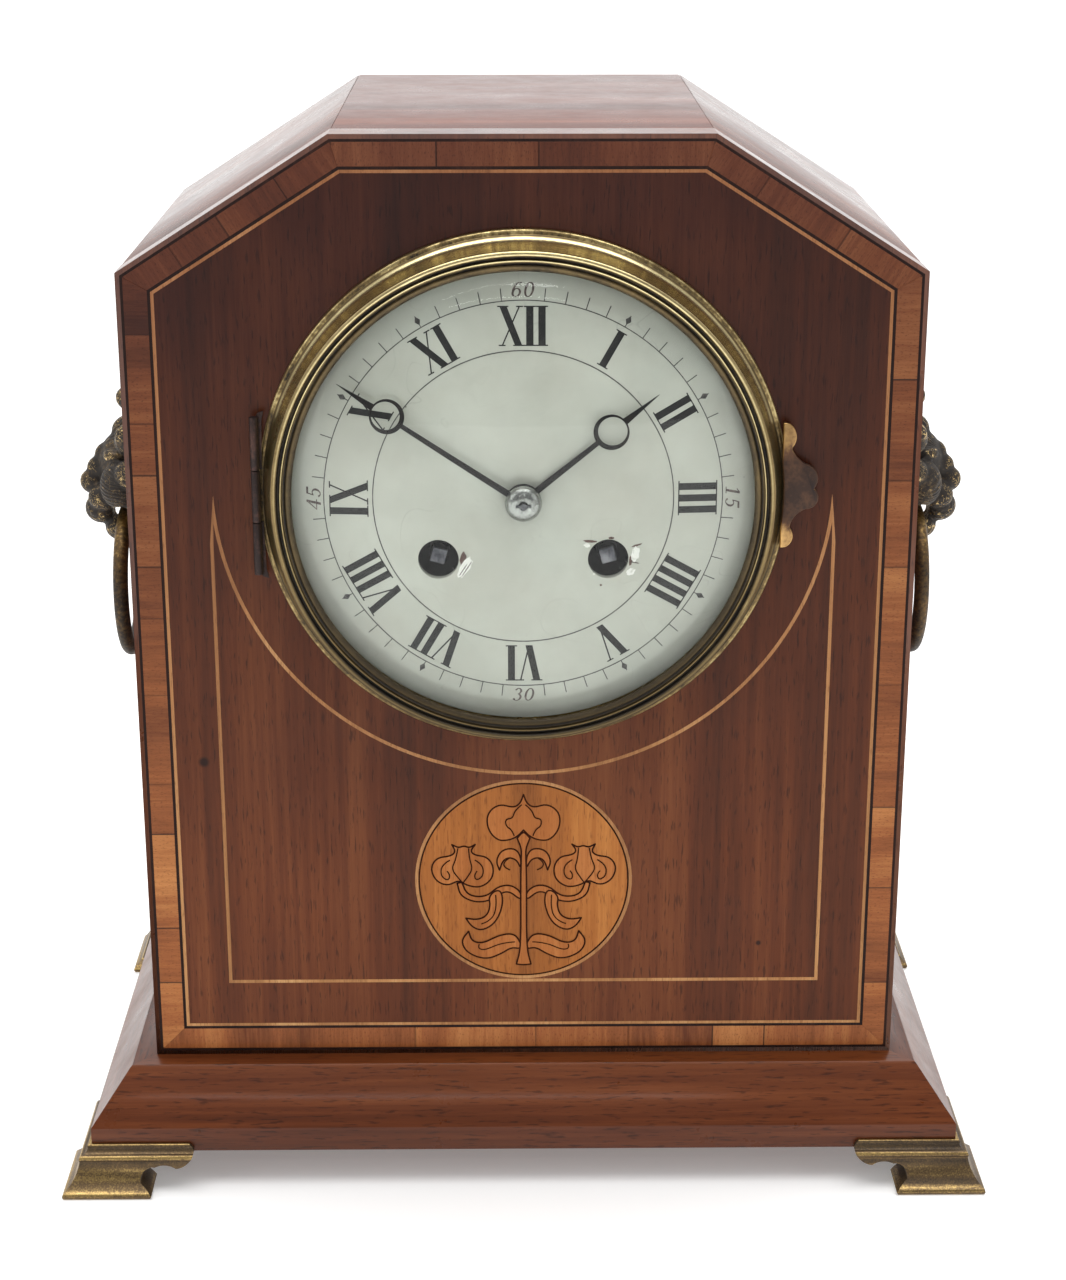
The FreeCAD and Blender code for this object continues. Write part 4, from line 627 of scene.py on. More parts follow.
# the seat dims towards the bottom by painted shade
SEAT_BRASS = Brass("seat_brass", bright=shade(216, 196, 140), worn=shade(128, 108, 72), tarnish=shade(42, 36, 30),
                   tarnish_share=0.3, painted_shade_below=(140.0, 286.0, 0.5), rough=0.26)
DOOR_BRASS = Brass("back_door_brass", bright=shade(204, 172, 108), worn=shade(176, 142, 84),
                   tarnish=shade(138, 108, 64), tarnish_share=0.15, rough=0.3)
TAB_BRASS = Brass("finger_tab_brass", bright=shade(206, 166, 108), worn=shade(98, 72, 56), tarnish=shade(40, 31, 30),
                  wear=Wear.BY_HEIGHT, start=196.0, end=240.0,
                  stops=((0.0, 0.7), (0.14, 0.6), (0.24, 0.04), (0.60, 0.02), (0.72, 0.42), (0.9, 0.62), (1.0, 0.5)),
                  mottle=1.4, edge_polish=0.7, rough=0.28)
LEAF_BRASS = Brass("hinge_leaf_brass", bright=shade(150, 122, 98), worn=shade(84, 62, 56), tarnish=shade(44, 33, 31),
                   tarnish_share=0.55, edge_polish=0.0, rough=0.26)
FOOT_BRASS = Brass("foot_brass", bright=shade(226, 192, 120), worn=shade(112, 92, 66), tarnish=shade(44, 38, 34),
                   wear=Wear.BY_HEIGHT, start=0.0, end=15.0,
                   stops=((0.0, 0.6), (0.05, 0.15), (0.10, 0.5), (0.19, 0.2), (0.27, 0.14), (0.34, 0.36), (0.50, 0.34),
                          (0.60, 0.08), (0.71, 0.16), (0.765, 0.6), (0.80, 0.14), (0.90, 0.02), (0.955, 0.14),
                          (0.985, 0.5)),
                   edge_polish=0.25, rough=0.26, pits=0.00008, mottle=1.3, speckle=0.7, speck_scale=2100.0)
MASK_BRASS = Brass("mask_brass", bright=shade(214, 184, 128), worn=shade(98, 82, 62), tarnish=shade(48, 43, 39),
                   tarnish_share=0.6, edge_polish=0.3, rough=0.32, etched=0.95, hair_lines=True)
RING_BRASS = Brass("ring_brass", bright=shade(214, 178, 112), worn=shade(104, 82, 54), tarnish=shade(36, 31, 27),
                   wear=Wear.BY_HEIGHT, start=138.0, end=190.0,
                   stops=((0.0, 0.04), (0.3, 0.1), (0.6, 0.18), (0.85, 0.4), (1.0, 0.7)), edge_polish=0.2, rough=0.32,
                   mottle=2.2, speckle=0.5)
MOVEMENT_BRASS = Brass("movement_brass", bright=shade(222, 184, 104), worn=shade(184, 142, 76),
                       tarnish=shade(112, 82, 48), tarnish_share=0.12, rough=0.24, steel_before=-6.0)
BELL_METAL = Brass("bell_metal", bright=shade(206, 180, 130), worn=shade(160, 134, 92), tarnish=shade(88, 70, 52),
                   tarnish_share=0.2, rough=0.22)
DARK_PLATE = Brass("plate_in_shade", bright=shade(60, 52, 40), worn=shade(24, 23, 22), tarnish=shade(10, 11, 12),
                   tarnish_share=0.6, edge_polish=0.2, rough=0.5)
BLACK_STEEL = Steel("blackened_steel", colour=shade(24, 23, 26), stain=shade(46, 40, 38), rough=0.42, metal=0.5)
COLLET_STEEL = Steel("collet_steel", colour=shade(176, 178, 176), stain=shade(122, 122, 120), rough=0.16)
DULL_STEEL = Steel("movement_steel", colour=shade(132, 132, 136), stain=shade(86, 80, 76), rough=0.32)
# the winding squares go near-black behind the dial by painted shade
KEY_STEEL = Steel("key_square_steel", colour=shade(128, 128, 134), stain=shade(66, 66, 74), rough=0.3, tip=-3.2)
ENAMEL = Enamel()
BLACK_INK = Ink("black_ink", colour=shade(12, 11, 13), thin=shade(44, 42, 43), rough=0.45)
GREY_INK = Ink("grey_ink", colour=shade(84, 70, 68), thin=shade(142, 130, 124))
TRACK_INK = Ink("track_ink", colour=shade(60, 58, 58), thin=shade(116, 112, 108))
# dark spots by the winding holes: stain, and painted shadow of the chipped edges
SHADOW_AND_STAIN_INK = Ink("enamel_shadow_and_stain", colour=shade(84, 54, 46), thin=shade(104, 84, 76))
# pale spots by the winding holes, brighter than the enamel: painted highlight on the chipped edges
CHIP_HIGHLIGHT_INK = Ink("enamel_chip_highlight", colour=shade(250, 250, 245), thin=shade(196, 198, 188), rough=0.12)
GLASS = OldGlass()


# Making pieces
def linked(name: str, data: bpy.types.ID) -> bpy.types.Object:
    """Puts a new object in the scene.

    Args:
        name: Object name.
        data: Its mesh, light or camera.

    Returns:
        The object.
    """
    made = bpy.data.objects.new(name, data)
    bpy.context.scene.collection.objects.link(made)
    return made


def meshed(bm: BMesh, name: str) -> bpy.types.Mesh:
    """Turns a bmesh into a mesh and frees it.

    Args:
        bm: Shape.
        name: Mesh name.

    Returns:
        The mesh.
    """
    mesh = bpy.data.meshes.new(name)
    bm.to_mesh(mesh)
    bm.free()
    return mesh


def edges_at(verts: Iterable[bmesh.types.BMVert]) -> list[bmesh.types.BMEdge]:
    """Returns the edges that meet at some points."""
    return list({e for v in verts for e in v.link_edges})


def bevelled(bm: BMesh, edges: list[bmesh.types.BMEdge], width: float, segments: int, clamp: bool) -> None:
    """Rounds edges by a width in mm, clamped where rounds would meet if clamp is set."""
    bmesh.ops.bevel(bm, geom=edges, offset=width * MM, offset_type="OFFSET", affect="EDGES", segments=segments,
                    profile=0.5, material=-1, clamp_overlap=clamp)


def thickened(bm: BMesh, thick: float, faces: Sequence[bmesh.types.BMFace] = ()) -> None:
    """Gives flat forms that face the front some thickness.

    Args:
        bm: Mesh of flat forms.
        thick: Thickness in mm, backwards where positive.
        faces: Faces of the forms, or none for all.
    """
    made = bmesh.ops.extrude_face_region(bm, geom=list(faces or bm.faces), use_keep_orig=True)
    moved = [g for g in made["geom"] if isinstance(g, bmesh.types.BMVert)]
    bmesh.ops.translate(bm, verts=moved, vec=(0, thick * MM, 0))
    bmesh.ops.recalc_face_normals(bm, faces=bm.faces)


class Piece:
    """A mesh in the making, which ends as an object that rides on a body of the clock."""

    def __init__(self, bm: BMesh | None = None) -> None:
        """Starts with an empty mesh, or with the one given."""
        self.bm = bmesh.new() if bm is None else bm

    @classmethod
    def of_node(cls, node: str) -> Piece:
        """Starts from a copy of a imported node, with its flat faces merged.

        Args:
            node: Name of the node.

        Returns:
            The piece.
        """
        piece = cls()
        bm = piece.bm
        bm.from_mesh(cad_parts[node].data)
        bmesh.ops.remove_doubles(bm, verts=bm.verts, dist=0.000004)
        bmesh.ops.dissolve_limit(bm, angle_limit=math.radians(0.4), verts=bm.verts, edges=bm.edges,
                                 delimit={"NORMAL"})
        return piece

    def spun(self, line: list, centre: Vector, axis: Triple, steps: int, merge: float) -> Piece:
        """Spins points and edges in a full turn.

        Args:
            line: Points and edges to spin.
            centre: Point on the axis.
            axis: Direction of the axis.
            steps: Facets in the turn.
            merge: Distance in metres under which points are one.

        Returns:
            This piece.
        """
        bmesh.ops.spin(self.bm, geom=line, cent=centre, axis=axis, dvec=(0, 0, 0), angle=math.tau, steps=steps,
                       use_merge=True)
        bmesh.ops.remove_doubles(self.bm, verts=self.bm.verts, dist=merge)
        bmesh.ops.recalc_face_normals(self.bm, faces=self.bm.faces)
        return self

    def lathe(self, profile: Sequence[Point], steps: int = 180) -> Piece:
        """Spins a profile about the dial's axis.

        Args:
            profile: Radius and depth of its points in mm.
            steps: Number of steps round.

        Returns:
            The piece itself.
        """
        verts = [self.bm.verts.new(at(radius, depth, DIAL_Z)) for radius, depth in profile]
        edges = [self.bm.edges.new(pair) for pair in zip(verts, verts[1:])]
        return self.spun(verts + edges, at(0, 0, DIAL_Z), (0, 1, 0), steps, 0.000002)

    def rounded(self, width: float, segments: int = 2, over: float = 30.0) -> Piece:
        """Rounds every edge sharper than an angle.

        Args:
            width: Width of the round in mm.
            segments: Facets across the round.
            over: Angle in degrees over which an edge is rounded.

        Returns:
            This piece.
        """
        sharp = [e for e in self.bm.edges if e.is_manifold and e.calc_face_angle(0.0) > math.radians(over)]
        bevelled(self.bm, sharp, width, segments, True)
        return self

    def finish(self, name: str, finishes: Finish | Sequence[Finish], body: str, slot: str,
               replaces: Sequence[str] = (), smooth: float = 32.0) -> None:
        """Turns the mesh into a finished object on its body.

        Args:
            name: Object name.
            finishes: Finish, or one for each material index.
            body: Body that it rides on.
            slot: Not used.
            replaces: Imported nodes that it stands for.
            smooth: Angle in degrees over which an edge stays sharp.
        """
        mesh = meshed(self.bm, name)
        for finish in [finishes] if isinstance(finishes, Finish) else finishes:
            mesh.materials.append(finish.material())
        mesh.shade_smooth()
        mesh.set_sharp_from_angle(angle=math.radians(smooth))
        piece = linked(name, mesh)
        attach(piece, body)
        if replaces:
            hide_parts(*replaces)
        log.info("piece %s on %s, %d faces", name, body, len(mesh.polygons))


def dress(finish: Finish, *nodes: str) -> None:
    """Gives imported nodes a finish.

    Args:
        finish: The finish.
        nodes: Names of the nodes.
    """
    for node in nodes:
        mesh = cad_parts[node].data
        mesh.materials.clear()
        mesh.materials.append(finish.material())
        log.info("node %s in %s", node, finish.name)


def settled(work: bpy.types.Object) -> BMesh:
    """Applies the modifiers of a working object and removes it.

    Args:
        work: The object.

    Returns:
        Its finished mesh.
    """
    bpy.context.view_layer.update()
    shaped = work.evaluated_get(bpy.context.evaluated_depsgraph_get())
    result = bmesh.new()
    result.from_mesh(shaped.to_mesh())
    shaped.to_mesh_clear()
    bpy.data.meshes.remove(work.data)
    return result


def through(points: Sequence[Point], steps: int) -> list[Point]:
    """Draws a smooth line through points.

    Args:
        points: The points.
        steps: Parts of each stretch.

    Returns:
        Points along the line.
    """
    ends = [points[0], *points, points[-1]]
    line: list[Point] = []
    for a, b, c, d in zip(ends, ends[1:], ends[2:], ends[3:]):
        for t in (step / steps for step in range(steps)):
            line.append(tuple(0.5 * (2 * b[i] + (c[i] - a[i]) * t + (2 * a[i] - 5 * b[i] + 4 * c[i] - d[i]) * t * t
                                     + (3 * b[i] - a[i] - 3 * c[i] + d[i]) * t ** 3) for i in (0, 1)))
    return line + [tuple(points[-1])]


def drawn(bm: BMesh, points: Sequence[Point], level: float, line: float = 0.0, closed: bool = True,
          centre: Point = (0.0, 0.0)) -> None:
    """Draws a smooth form on the clock's front, filled or as a line.

    Args:
        bm: Mesh to add it to.
        points: Control points across and up, in mm. A point given twice makes a sharp tip.
        level: Depth of its face, in mm.
        line: Width of the line in mm, or 0 for a filled form.
        closed: Joins the last point to the first.
        centre: Place of the drawing's middle.
    """
    curve = bpy.data.curves.new("drawing", "CURVE")
    curve.dimensions = "3D" if line else "2D"
    curve.resolution_u = 5
    if line:
        curve.bevel_depth, curve.bevel_resolution = line / 2, 1
    else:
        curve.fill_mode = "BOTH"
    spline = curve.splines.new("NURBS")
    spline.points.add(len(points) - 1)
    for control, (x, z) in zip(spline.points, points):
        control.co = (x, z, 0.0, 1.0)
    spline.order_u, spline.use_cyclic_u, spline.use_endpoint_u = 3, closed, not closed
    shape = bpy.data.objects.new("drawing", curve)
    mesh = bpy.data.meshes.new_from_object(shape)
    before = len(bm.verts)
    bm.from_mesh(mesh)
    bm.verts.ensure_lookup_table()
    flat = 0.12 if line else 1.0
    for vert in bm.verts[before:]:
        vert.co = at(centre[0] + vert.co.x, level - vert.co.z * flat, centre[1] + vert.co.y)
    bpy.data.curves.remove(curve)
    bpy.data.meshes.remove(mesh)


# The case
@dataclass
class Case:
    """Carcase boards and back, with their edges rounded a little."""

    board_round: float = 0.5

    def build(self) -> None:
        """Builds and dresses the boards."""
        for node, finish in (("side_boards", SIDE_WOOD), ("top_board", TOP_WOOD), ("shoulder_boards", SIDE_WOOD)):
            board = Piece.of_node(node).rounded(self.board_round)
            board.finish(node + "_polished", finish, "case", "mahogany", [node])
        dress(SIDE_WOOD, "front_panel")
        dress(FIELD_WOOD, "field_veneer")
        dress(PINE, "case_floor", "back_panel")


@dataclass
class FrontInlay:
    """Crossbanding, strings and roundel let into the front."""

    half_width: float = 112.5
    bottom: float = 34.8
    shoulder: float = 275.7
    top: float = 313.4
    top_half_width: float = 52.9
    outer: float = 2.05              # crossbanding's outer edge, in from the case's edge
    inner: float = 8.75
    proud: float = 0.03              # how far the crossbanding laps over the dark lines
    thick: float = 1.0
    edge_round: float = 0.07
    cut_lengths: Point = (14.0, 40.0)      # shortest and longest piece of veneer in the band
    seed: int = 7

    def corners(self, inset: float) -> list[Point]:
        """Finds the six corners of the case's outline, inset by a distance.

        Args:
            inset: Distance in from the edge.

        Returns:
            The corners, from the bottom left, clockwise.
        """
        rise, run = self.top - self.shoulder, self.half_width - self.top_half_width
        slope = math.hypot(rise, run)
        x, z_top = self.half_width - inset, self.top - inset
        z_side = self.shoulder + inset * (rise - slope) / run
        x_top = self.half_width - (z_top - self.shoulder + inset * slope / run) * run / rise
        left = [(-x, self.bottom + inset), (-x, z_side), (-x_top, z_top)]
        return left + [(-across, up) for across, up in reversed(left)]

    def build(self) -> None:
        """Builds the crossbanding and dresses the strings and the roundel."""
        self.crossbanding()
        dress(EBONY, "ebony_lines")
        dress(SATINWOOD, "roundel")
        self.strings()

    def strings(self) -> None:
        """Builds the light strings, with the bead along the case's edge in its own wood."""
        piece = Piece.of_node("boxwood_lines")
        left = set(piece.bm.verts)
        while left:
            island, front = set(), [left.pop()]
            while front:
                vert = front.pop()
                island.add(vert)
                near = {e.other_vert(vert) for e in vert.link_edges} & left
                left -= near
                front.extend(near)
            if max(abs(v.co.x) for v in island) > (self.half_width - 0.5) * MM:
                for face in {f for v in island for f in v.link_faces}:
                    face.material_index = 1
        piece.finish("inlaid_strings", [BOXWOOD, EDGE_WOOD], "case", "boxwood", ["boxwood_lines"])

    def crossbanding(self) -> None:
        """Builds the band as mitred strips, cut into short pieces whose tones differ."""
        chance = random.Random(self.seed)
        piece = Piece()
        bm = piece.bm
        uv, ends = bm.loops.layers.uv.new("UVMap"), bm.loops.layers.uv.new("ends")
        tone = bm.faces.layers.float.new("tone")
        outer, inner = self.corners(self.outer), self.corners(self.inner)
        for i in range(6):
            j = (i + 1) % 6
            start, end = (at(outer[k][0], 0, outer[k][1]) for k in (i, j))
            along = (end - start).normalized()
            across = Vector((-along.z, 0, along.x))
            verts = [bm.verts.new(at(x, -self.proud, z)) for x, z in (outer[i], outer[j], inner[j], inner[i])]
            face = bm.faces.new(verts)
            strip = [face, *face.edges, *face.verts]
            reached = chance.uniform(*self.cut_lengths)
            while reached < (end - start).length / MM - self.cut_lengths[0]:
                made = bmesh.ops.bisect_plane(bm, geom=strip, plane_co=start + along * reached * MM, plane_no=along,
                                              dist=1e-7)
                strip = made["geom"]
                reached += chance.uniform(*self.cut_lengths)
            for part in [g for g in strip if isinstance(g, bmesh.types.BMFace)]:
                part[tone] = chance.uniform(0.0, 1.0)
                slide = chance.uniform(0.0, 1.0)
                reach = [(v.co - start).dot(along) for v in part.verts]
                for loop in part.loops:
                    place = loop.vert.co - start
                    far = place.dot(along)
                    loop[ends].uv = (far - min(reach), max(reach) - far)
                    loop[uv].uv = (far + slide, place.dot(across) + slide)
        bmesh.ops.split_edges(bm, edges=bm.edges)
        thickened(bm, self.thick)
        piece.rounded(self.edge_round, 1)
        piece.finish("crossbanding_strips", CROSSBAND_WOOD, "case", "crossband", ["crossbanding"])


@dataclass
class Marquetry:
    """Flower inlay of the roundel: three blossoms on one stem, with scrolls and leaves, the same on both sides."""

    centre: Point = (0.0, 92.5)
    line: float = 0.5
    border: float = 31.35            # radius of the dark line round the ground
    thick: float = 0.3
    middle_blossom: tuple[Point, ...] = ((0, 27.8), (0, 27.8), (0.9, 25.0), (3.0, 23.5), (7.2, 24.9), (10.9, 21.8),
                                         (10.7, 16.6), (7.8, 13.0), (4.4, 13.1), (1.8, 14.3), (0, 16.4), (0, 16.4))
    stem: tuple[Point, ...] = ((0, 16.2), (1.9, 13.8), (1.9, 13.8), (0.6, 10.4), (0.7, 7.0), (0.9, 0.0), (0.8, -22.0),
                               (2.2, -27.6), (2.2, -27.6), (0, -27.9))
    forms: tuple[tuple[Point, ...], ...] = (
        ((0.8, 7.9), (2.6, 10.6), (6.6, 10.0), (8.3, 6.4), (7.2, 3.4), (7.2, 3.4), (6.2, 6.6), (4.2, 7.6), (1.9, 6.6),
         (0.8, 3.6)),
        ((14.4, 11.8), (14.4, 11.8), (16.2, 10.7), (17.8, 11.4), (19.4, 10.7), (21.4, 11.8), (21.4, 11.8), (20.2, 9.5),
         (21.8, 8.0), (25.9, 7.6), (27.9, 4.2), (26.4, 0.0), (22.8, -1.7), (19.4, 0.3), (17.0, -1.6), (12.9, -2.3),
         (9.4, 0.4), (8.9, 4.6), (10.9, 7.8), (14.6, 8.3), (15.9, 9.7)),
        ((0.8, -3.6), (4.0, -1.3), (7.8, -2.0), (10.6, -4.8), (14.0, -5.4), (17.2, -4.2), (18.5, -0.5), (18.5, -0.5),
         (19.9, -0.8), (19.9, -0.8), (19.0, -5.0), (14.6, -7.1), (10.2, -6.6), (7.0, -4.1), (4.2, -3.4), (0.8, -6.6)),
        ((6.6, -3.4), (6.2, -8.0), (8.4, -13.9), (12.6, -16.5), (15.6, -15.2), (17.4, -12.3), (17.4, -12.3),
         (13.8, -12.9), (10.9, -11.4), (10.0, -8.0), (10.5, -5.4), (8.6, -3.2)),
        ((0.9, -20.4), (3.0, -17.3), (7.6, -18.0), (12.2, -20.7), (15.7, -20.0), (16.6, -16.6), (16.6, -16.6),
         (19.0, -19.8), (17.2, -23.8), (11.6, -26.1), (6.9, -24.2), (3.6, -21.9), (0.9, -22.6)))
    veins: tuple[tuple[Point, ...], ...] = (
        ((0.5, 24.6), (2.6, 22.8), (3.2, 20.2), (5.4, 20.0), (5.2, 17.6), (3.5, 16.6), (2.8, 14.6)),
        ((4.2, 7.4), (6.0, 6.2), (5.8, 4.2), (4.0, 3.5)),
        ((16.4, 10.6), (16.2, 7.0), (15.2, 4.0), (16.8, 1.2), (18.1, -0.6)),
        ((19.6, 10.6), (20.2, 7.0), (21.6, 4.0), (19.8, 1.2), (18.3, -0.6)),
        ((14.6, 6.8), (12.2, 5.4), (12.0, 1.6), (14.2, 0.0), (14.9, 2.0), (13.9, 3.2)),
        ((22.0, 6.8), (24.6, 5.2), (24.8, 1.6), (22.6, 0.0), (21.9, 2.0), (22.9, 3.2)),
        ((8.4, -4.6), (8.0, -9.4), (10.2, -13.4), (12.8, -14.2)),
        ((2.6, -20.2), (6.6, -20.4), (11.8, -23.0), (14.0, -22.2), (13.4, -20.9)))

    def build(self) -> None:
        """Builds the petals and leaves, and the dark lines round and across them."""
        petals, lines = Piece(), Piece()

        def form(outline: Sequence[Point], level: float) -> None:
            """Draws one filled form with its dark outline."""
            drawn(petals.bm, outline, level, centre=self.centre)
            drawn(lines.bm, outline, level, self.line, centre=self.centre)

        for right, level in ((self.middle_blossom, -0.02), (self.stem, -0.2)):
            form([*right, *[(-x, z) for x, z in reversed(right) if x > 0]], level)
        for side in (-1, 1):
            for number, right in enumerate(self.forms):
                form([(side * x, z) for x, z in right], -0.03 - 0.035 * number)
            for vein in self.veins:
                drawn(lines.bm, [(side * x, z) for x, z in vein], -0.2, self.line * 0.75, False, self.centre)
        turns = [math.tau * step / 48 for step in range(48)]
        around = [(self.border * math.cos(turn), self.border * math.sin(turn)) for turn in turns]
        drawn(lines.bm, around, 0.0, self.line, centre=self.centre)
        thickened(petals.bm, self.thick)
        petals.finish("marquetry_flowers", PETAL_WOOD, "case", "satinwood")
        lines.finish("marquetry_lines", PETAL_LINE, "case", "ebony")


@dataclass
class Base:
    """Plinth moulding and the four brass feet."""

    plinth_round: float = 0.45
    foot_round: float = 0.3

    def build(self) -> None:
        """Builds the plinth and the feet."""
        plinth = Piece.of_node("plinth").rounded(self.plinth_round)
        plinth.finish("plinth_moulding", PLINTH_WOOD, "case", "mahogany", ["plinth"])
        for node in ("foot_front_left", "foot_front_right", "foot_rear_left", "foot_rear_right"):
            foot = Piece.of_node(node).rounded(self.foot_round, 2, 35.0)
            foot.finish(node + "_cast", FOOT_BRASS, "case", "gilt_brass", [node])
        dress(DULL_STEEL, "case_screws")


# Bezel, glass and dial
@dataclass
class Bezel:
    """Seat, hinged bezel with its hinge, finger tab and glass."""

    hinge_x: float = -75.3
    hinge_depth: float = -3.9
    hinge_radius: float = 1.3
    hinge_length: float = 46.0
    hinge_gap: float = 0.15          # between two knuckles
    leaf_depth: float = -2.25
    leaf_thick: float = 0.8
    tab_round: float = 0.5
    dome: float = 64.5               # radius of the glass's dome
    apex: float = -20.9
    rim: float = -10.15
    rim_radius: float = 68.8
    thick: float = 1.4
    seat_profile: tuple[Point, ...] = (
        (64.6, -3.1), (68.2, -3.1), (68.4, -2.9), (68.4, -2.2), (73.9, -2.2), (74.5, -2.1), (74.85, -1.75),
        (75.0, -1.2), (75.0, 0.0), (68.4, 0.0), (68.4, 18.0), (64.6, 18.0), (64.6, 6.0), (47.0, 6.0), (47.0, 4.4),
        (64.6, 4.4), (64.6, -3.1))
    cove: tuple[Point, ...] = ((73.6, -2.5), (72.3, -3.9), (71.5, -6.2), (71.0, -9.0), (70.75, -11.2))
    ridge: tuple[Point, ...] = ((70.75, -11.2), (70.6, -12.1), (70.0, -12.6), (69.35, -12.5), (69.0, -12.0))
    steps: tuple[Point, ...] = (
        (68.85, -11.0), (68.45, -10.95), (68.3, -11.7), (68.05, -12.0), (67.75, -11.95), (67.6, -11.5),
        (67.5, -11.0), (66.9, -10.9), (66.7, -11.5), (66.3, -11.85), (65.7, -11.7), (65.2, -11.3), (64.9, -10.9),
        (64.9, -10.2), (69.4, -10.2), (69.4, -2.4), (73.5, -2.4), (73.6, -2.5))

    def build(self) -> None:
        """Builds the seat, the bezel and the glass."""
        self.seat()
        self.door()
        self.pane()

    def knuckle(self, piece: Piece, middle: float, half: float) -> None:
        """Adds one knuckle of the hinge with rolled ends.

        Args:
            piece: Piece to add it to.
            middle: Height of its middle.
            half: Half of its length.
        """
        made = bmesh.ops.create_cone(piece.bm, cap_ends=True, segments=28, radius1=self.hinge_radius * MM,
                                     radius2=self.hinge_radius * MM, depth=half * 2 * MM,
                                     matrix=Matrix.Translation(at(self.hinge_x, self.hinge_depth, middle)))
        ends = [e for e in edges_at(made["verts"]) if e.calc_face_angle(0) > 1.0]
        bevelled(piece.bm, ends, 0.25, 2, False)

    def leaf(self, piece: Piece, sign: int, middle: float, half: float) -> None:
        """Adds the flat wing of one outer knuckle, with its pointed end.

        Args:
            piece: Piece to add it to.
            sign: 1 for the upper knuckle, -1 for the lower.
            middle: Height of the knuckle's middle.
            half: Half of its length.
        """
        points = ((-76.2, -half), (-73.6, -half), (-73.2, half - 1.2), (-72.6, half + 1.4), (-74.2, half + 0.9),
                  (-76.2, half - 2.2))
        verts = [piece.bm.verts.new(at(x, self.leaf_depth, middle + sign * up)) for x, up in points]
        thickened(piece.bm, -self.leaf_thick, [piece.bm.faces.new(verts)])

    def seat(self) -> None:
        """Builds the fixed seat with its two outer knuckles."""
        seat = Piece().lathe(self.seat_profile)
        seat.finish("bezel_seat_turned", SEAT_BRASS, "case", "gilt_brass", ["bezel_seat"], smooth=50)
        leaf = Piece()
        third = self.hinge_length / 6
        for sign in (-1, 1):
            middle = DIAL_Z + sign * 2 * third
            self.knuckle(leaf, middle, third)
            self.leaf(leaf, sign, middle, third)
        leaf.finish("bezel_hinge_leaves", LEAF_BRASS, "case", "aged_brass", ["bezel_seat"], smooth=40)

    def door(self) -> None:
        """Builds the bezel's ring with its middle knuckle, and the finger tab."""
        profile = through(self.cove, 6) + through(self.ridge, 4)[1:] + list(self.steps)
        ring = Piece().lathe(profile, steps=240)
        ring.finish("bezel_turned", BEZEL_BRASS, "bezel_door", "gilt_brass", ["bezel"], smooth=50)
        middle = Piece()
        self.knuckle(middle, DIAL_Z, self.hinge_length / 6 - self.hinge_gap)
        middle.finish("bezel_middle_knuckle", LEAF_BRASS, "bezel_door", "aged_brass", ["bezel"], smooth=40)
        tab = Piece.of_node("bezel_tab").rounded(self.tab_round, 3, 35.0)
        tab.finish("bezel_finger_tab", TAB_BRASS, "bezel_door", "aged_brass", ["bezel_tab"])

    def pane(self) -> None:
        """Builds the domed glass."""
        rise = self.rim - self.apex
        sphere = (self.dome ** 2 + rise ** 2) / (2 * rise)
        count, hollow, back = 22, self.dome - 1.5, self.rim + self.thick

        def face(radius: float, behind: float) -> Point:
            """Returns a point of the dome's face, moved back by a distance."""
            return radius, self.apex + sphere - math.sqrt(sphere ** 2 - radius ** 2) + behind

        outer = [face(self.dome * i / count, 0.0) for i in range(count + 1)]
        inner = [face(hollow * i / count, self.thick) for i in range(count - 1, -1, -1)]
        profile = outer + [(self.rim_radius, self.rim), (self.rim_radius, back), (hollow, back)] + inner
        Piece().lathe(profile, steps=160).finish("glass_dome", GLASS, "bezel_door", "glass", ["glass"], smooth=40)


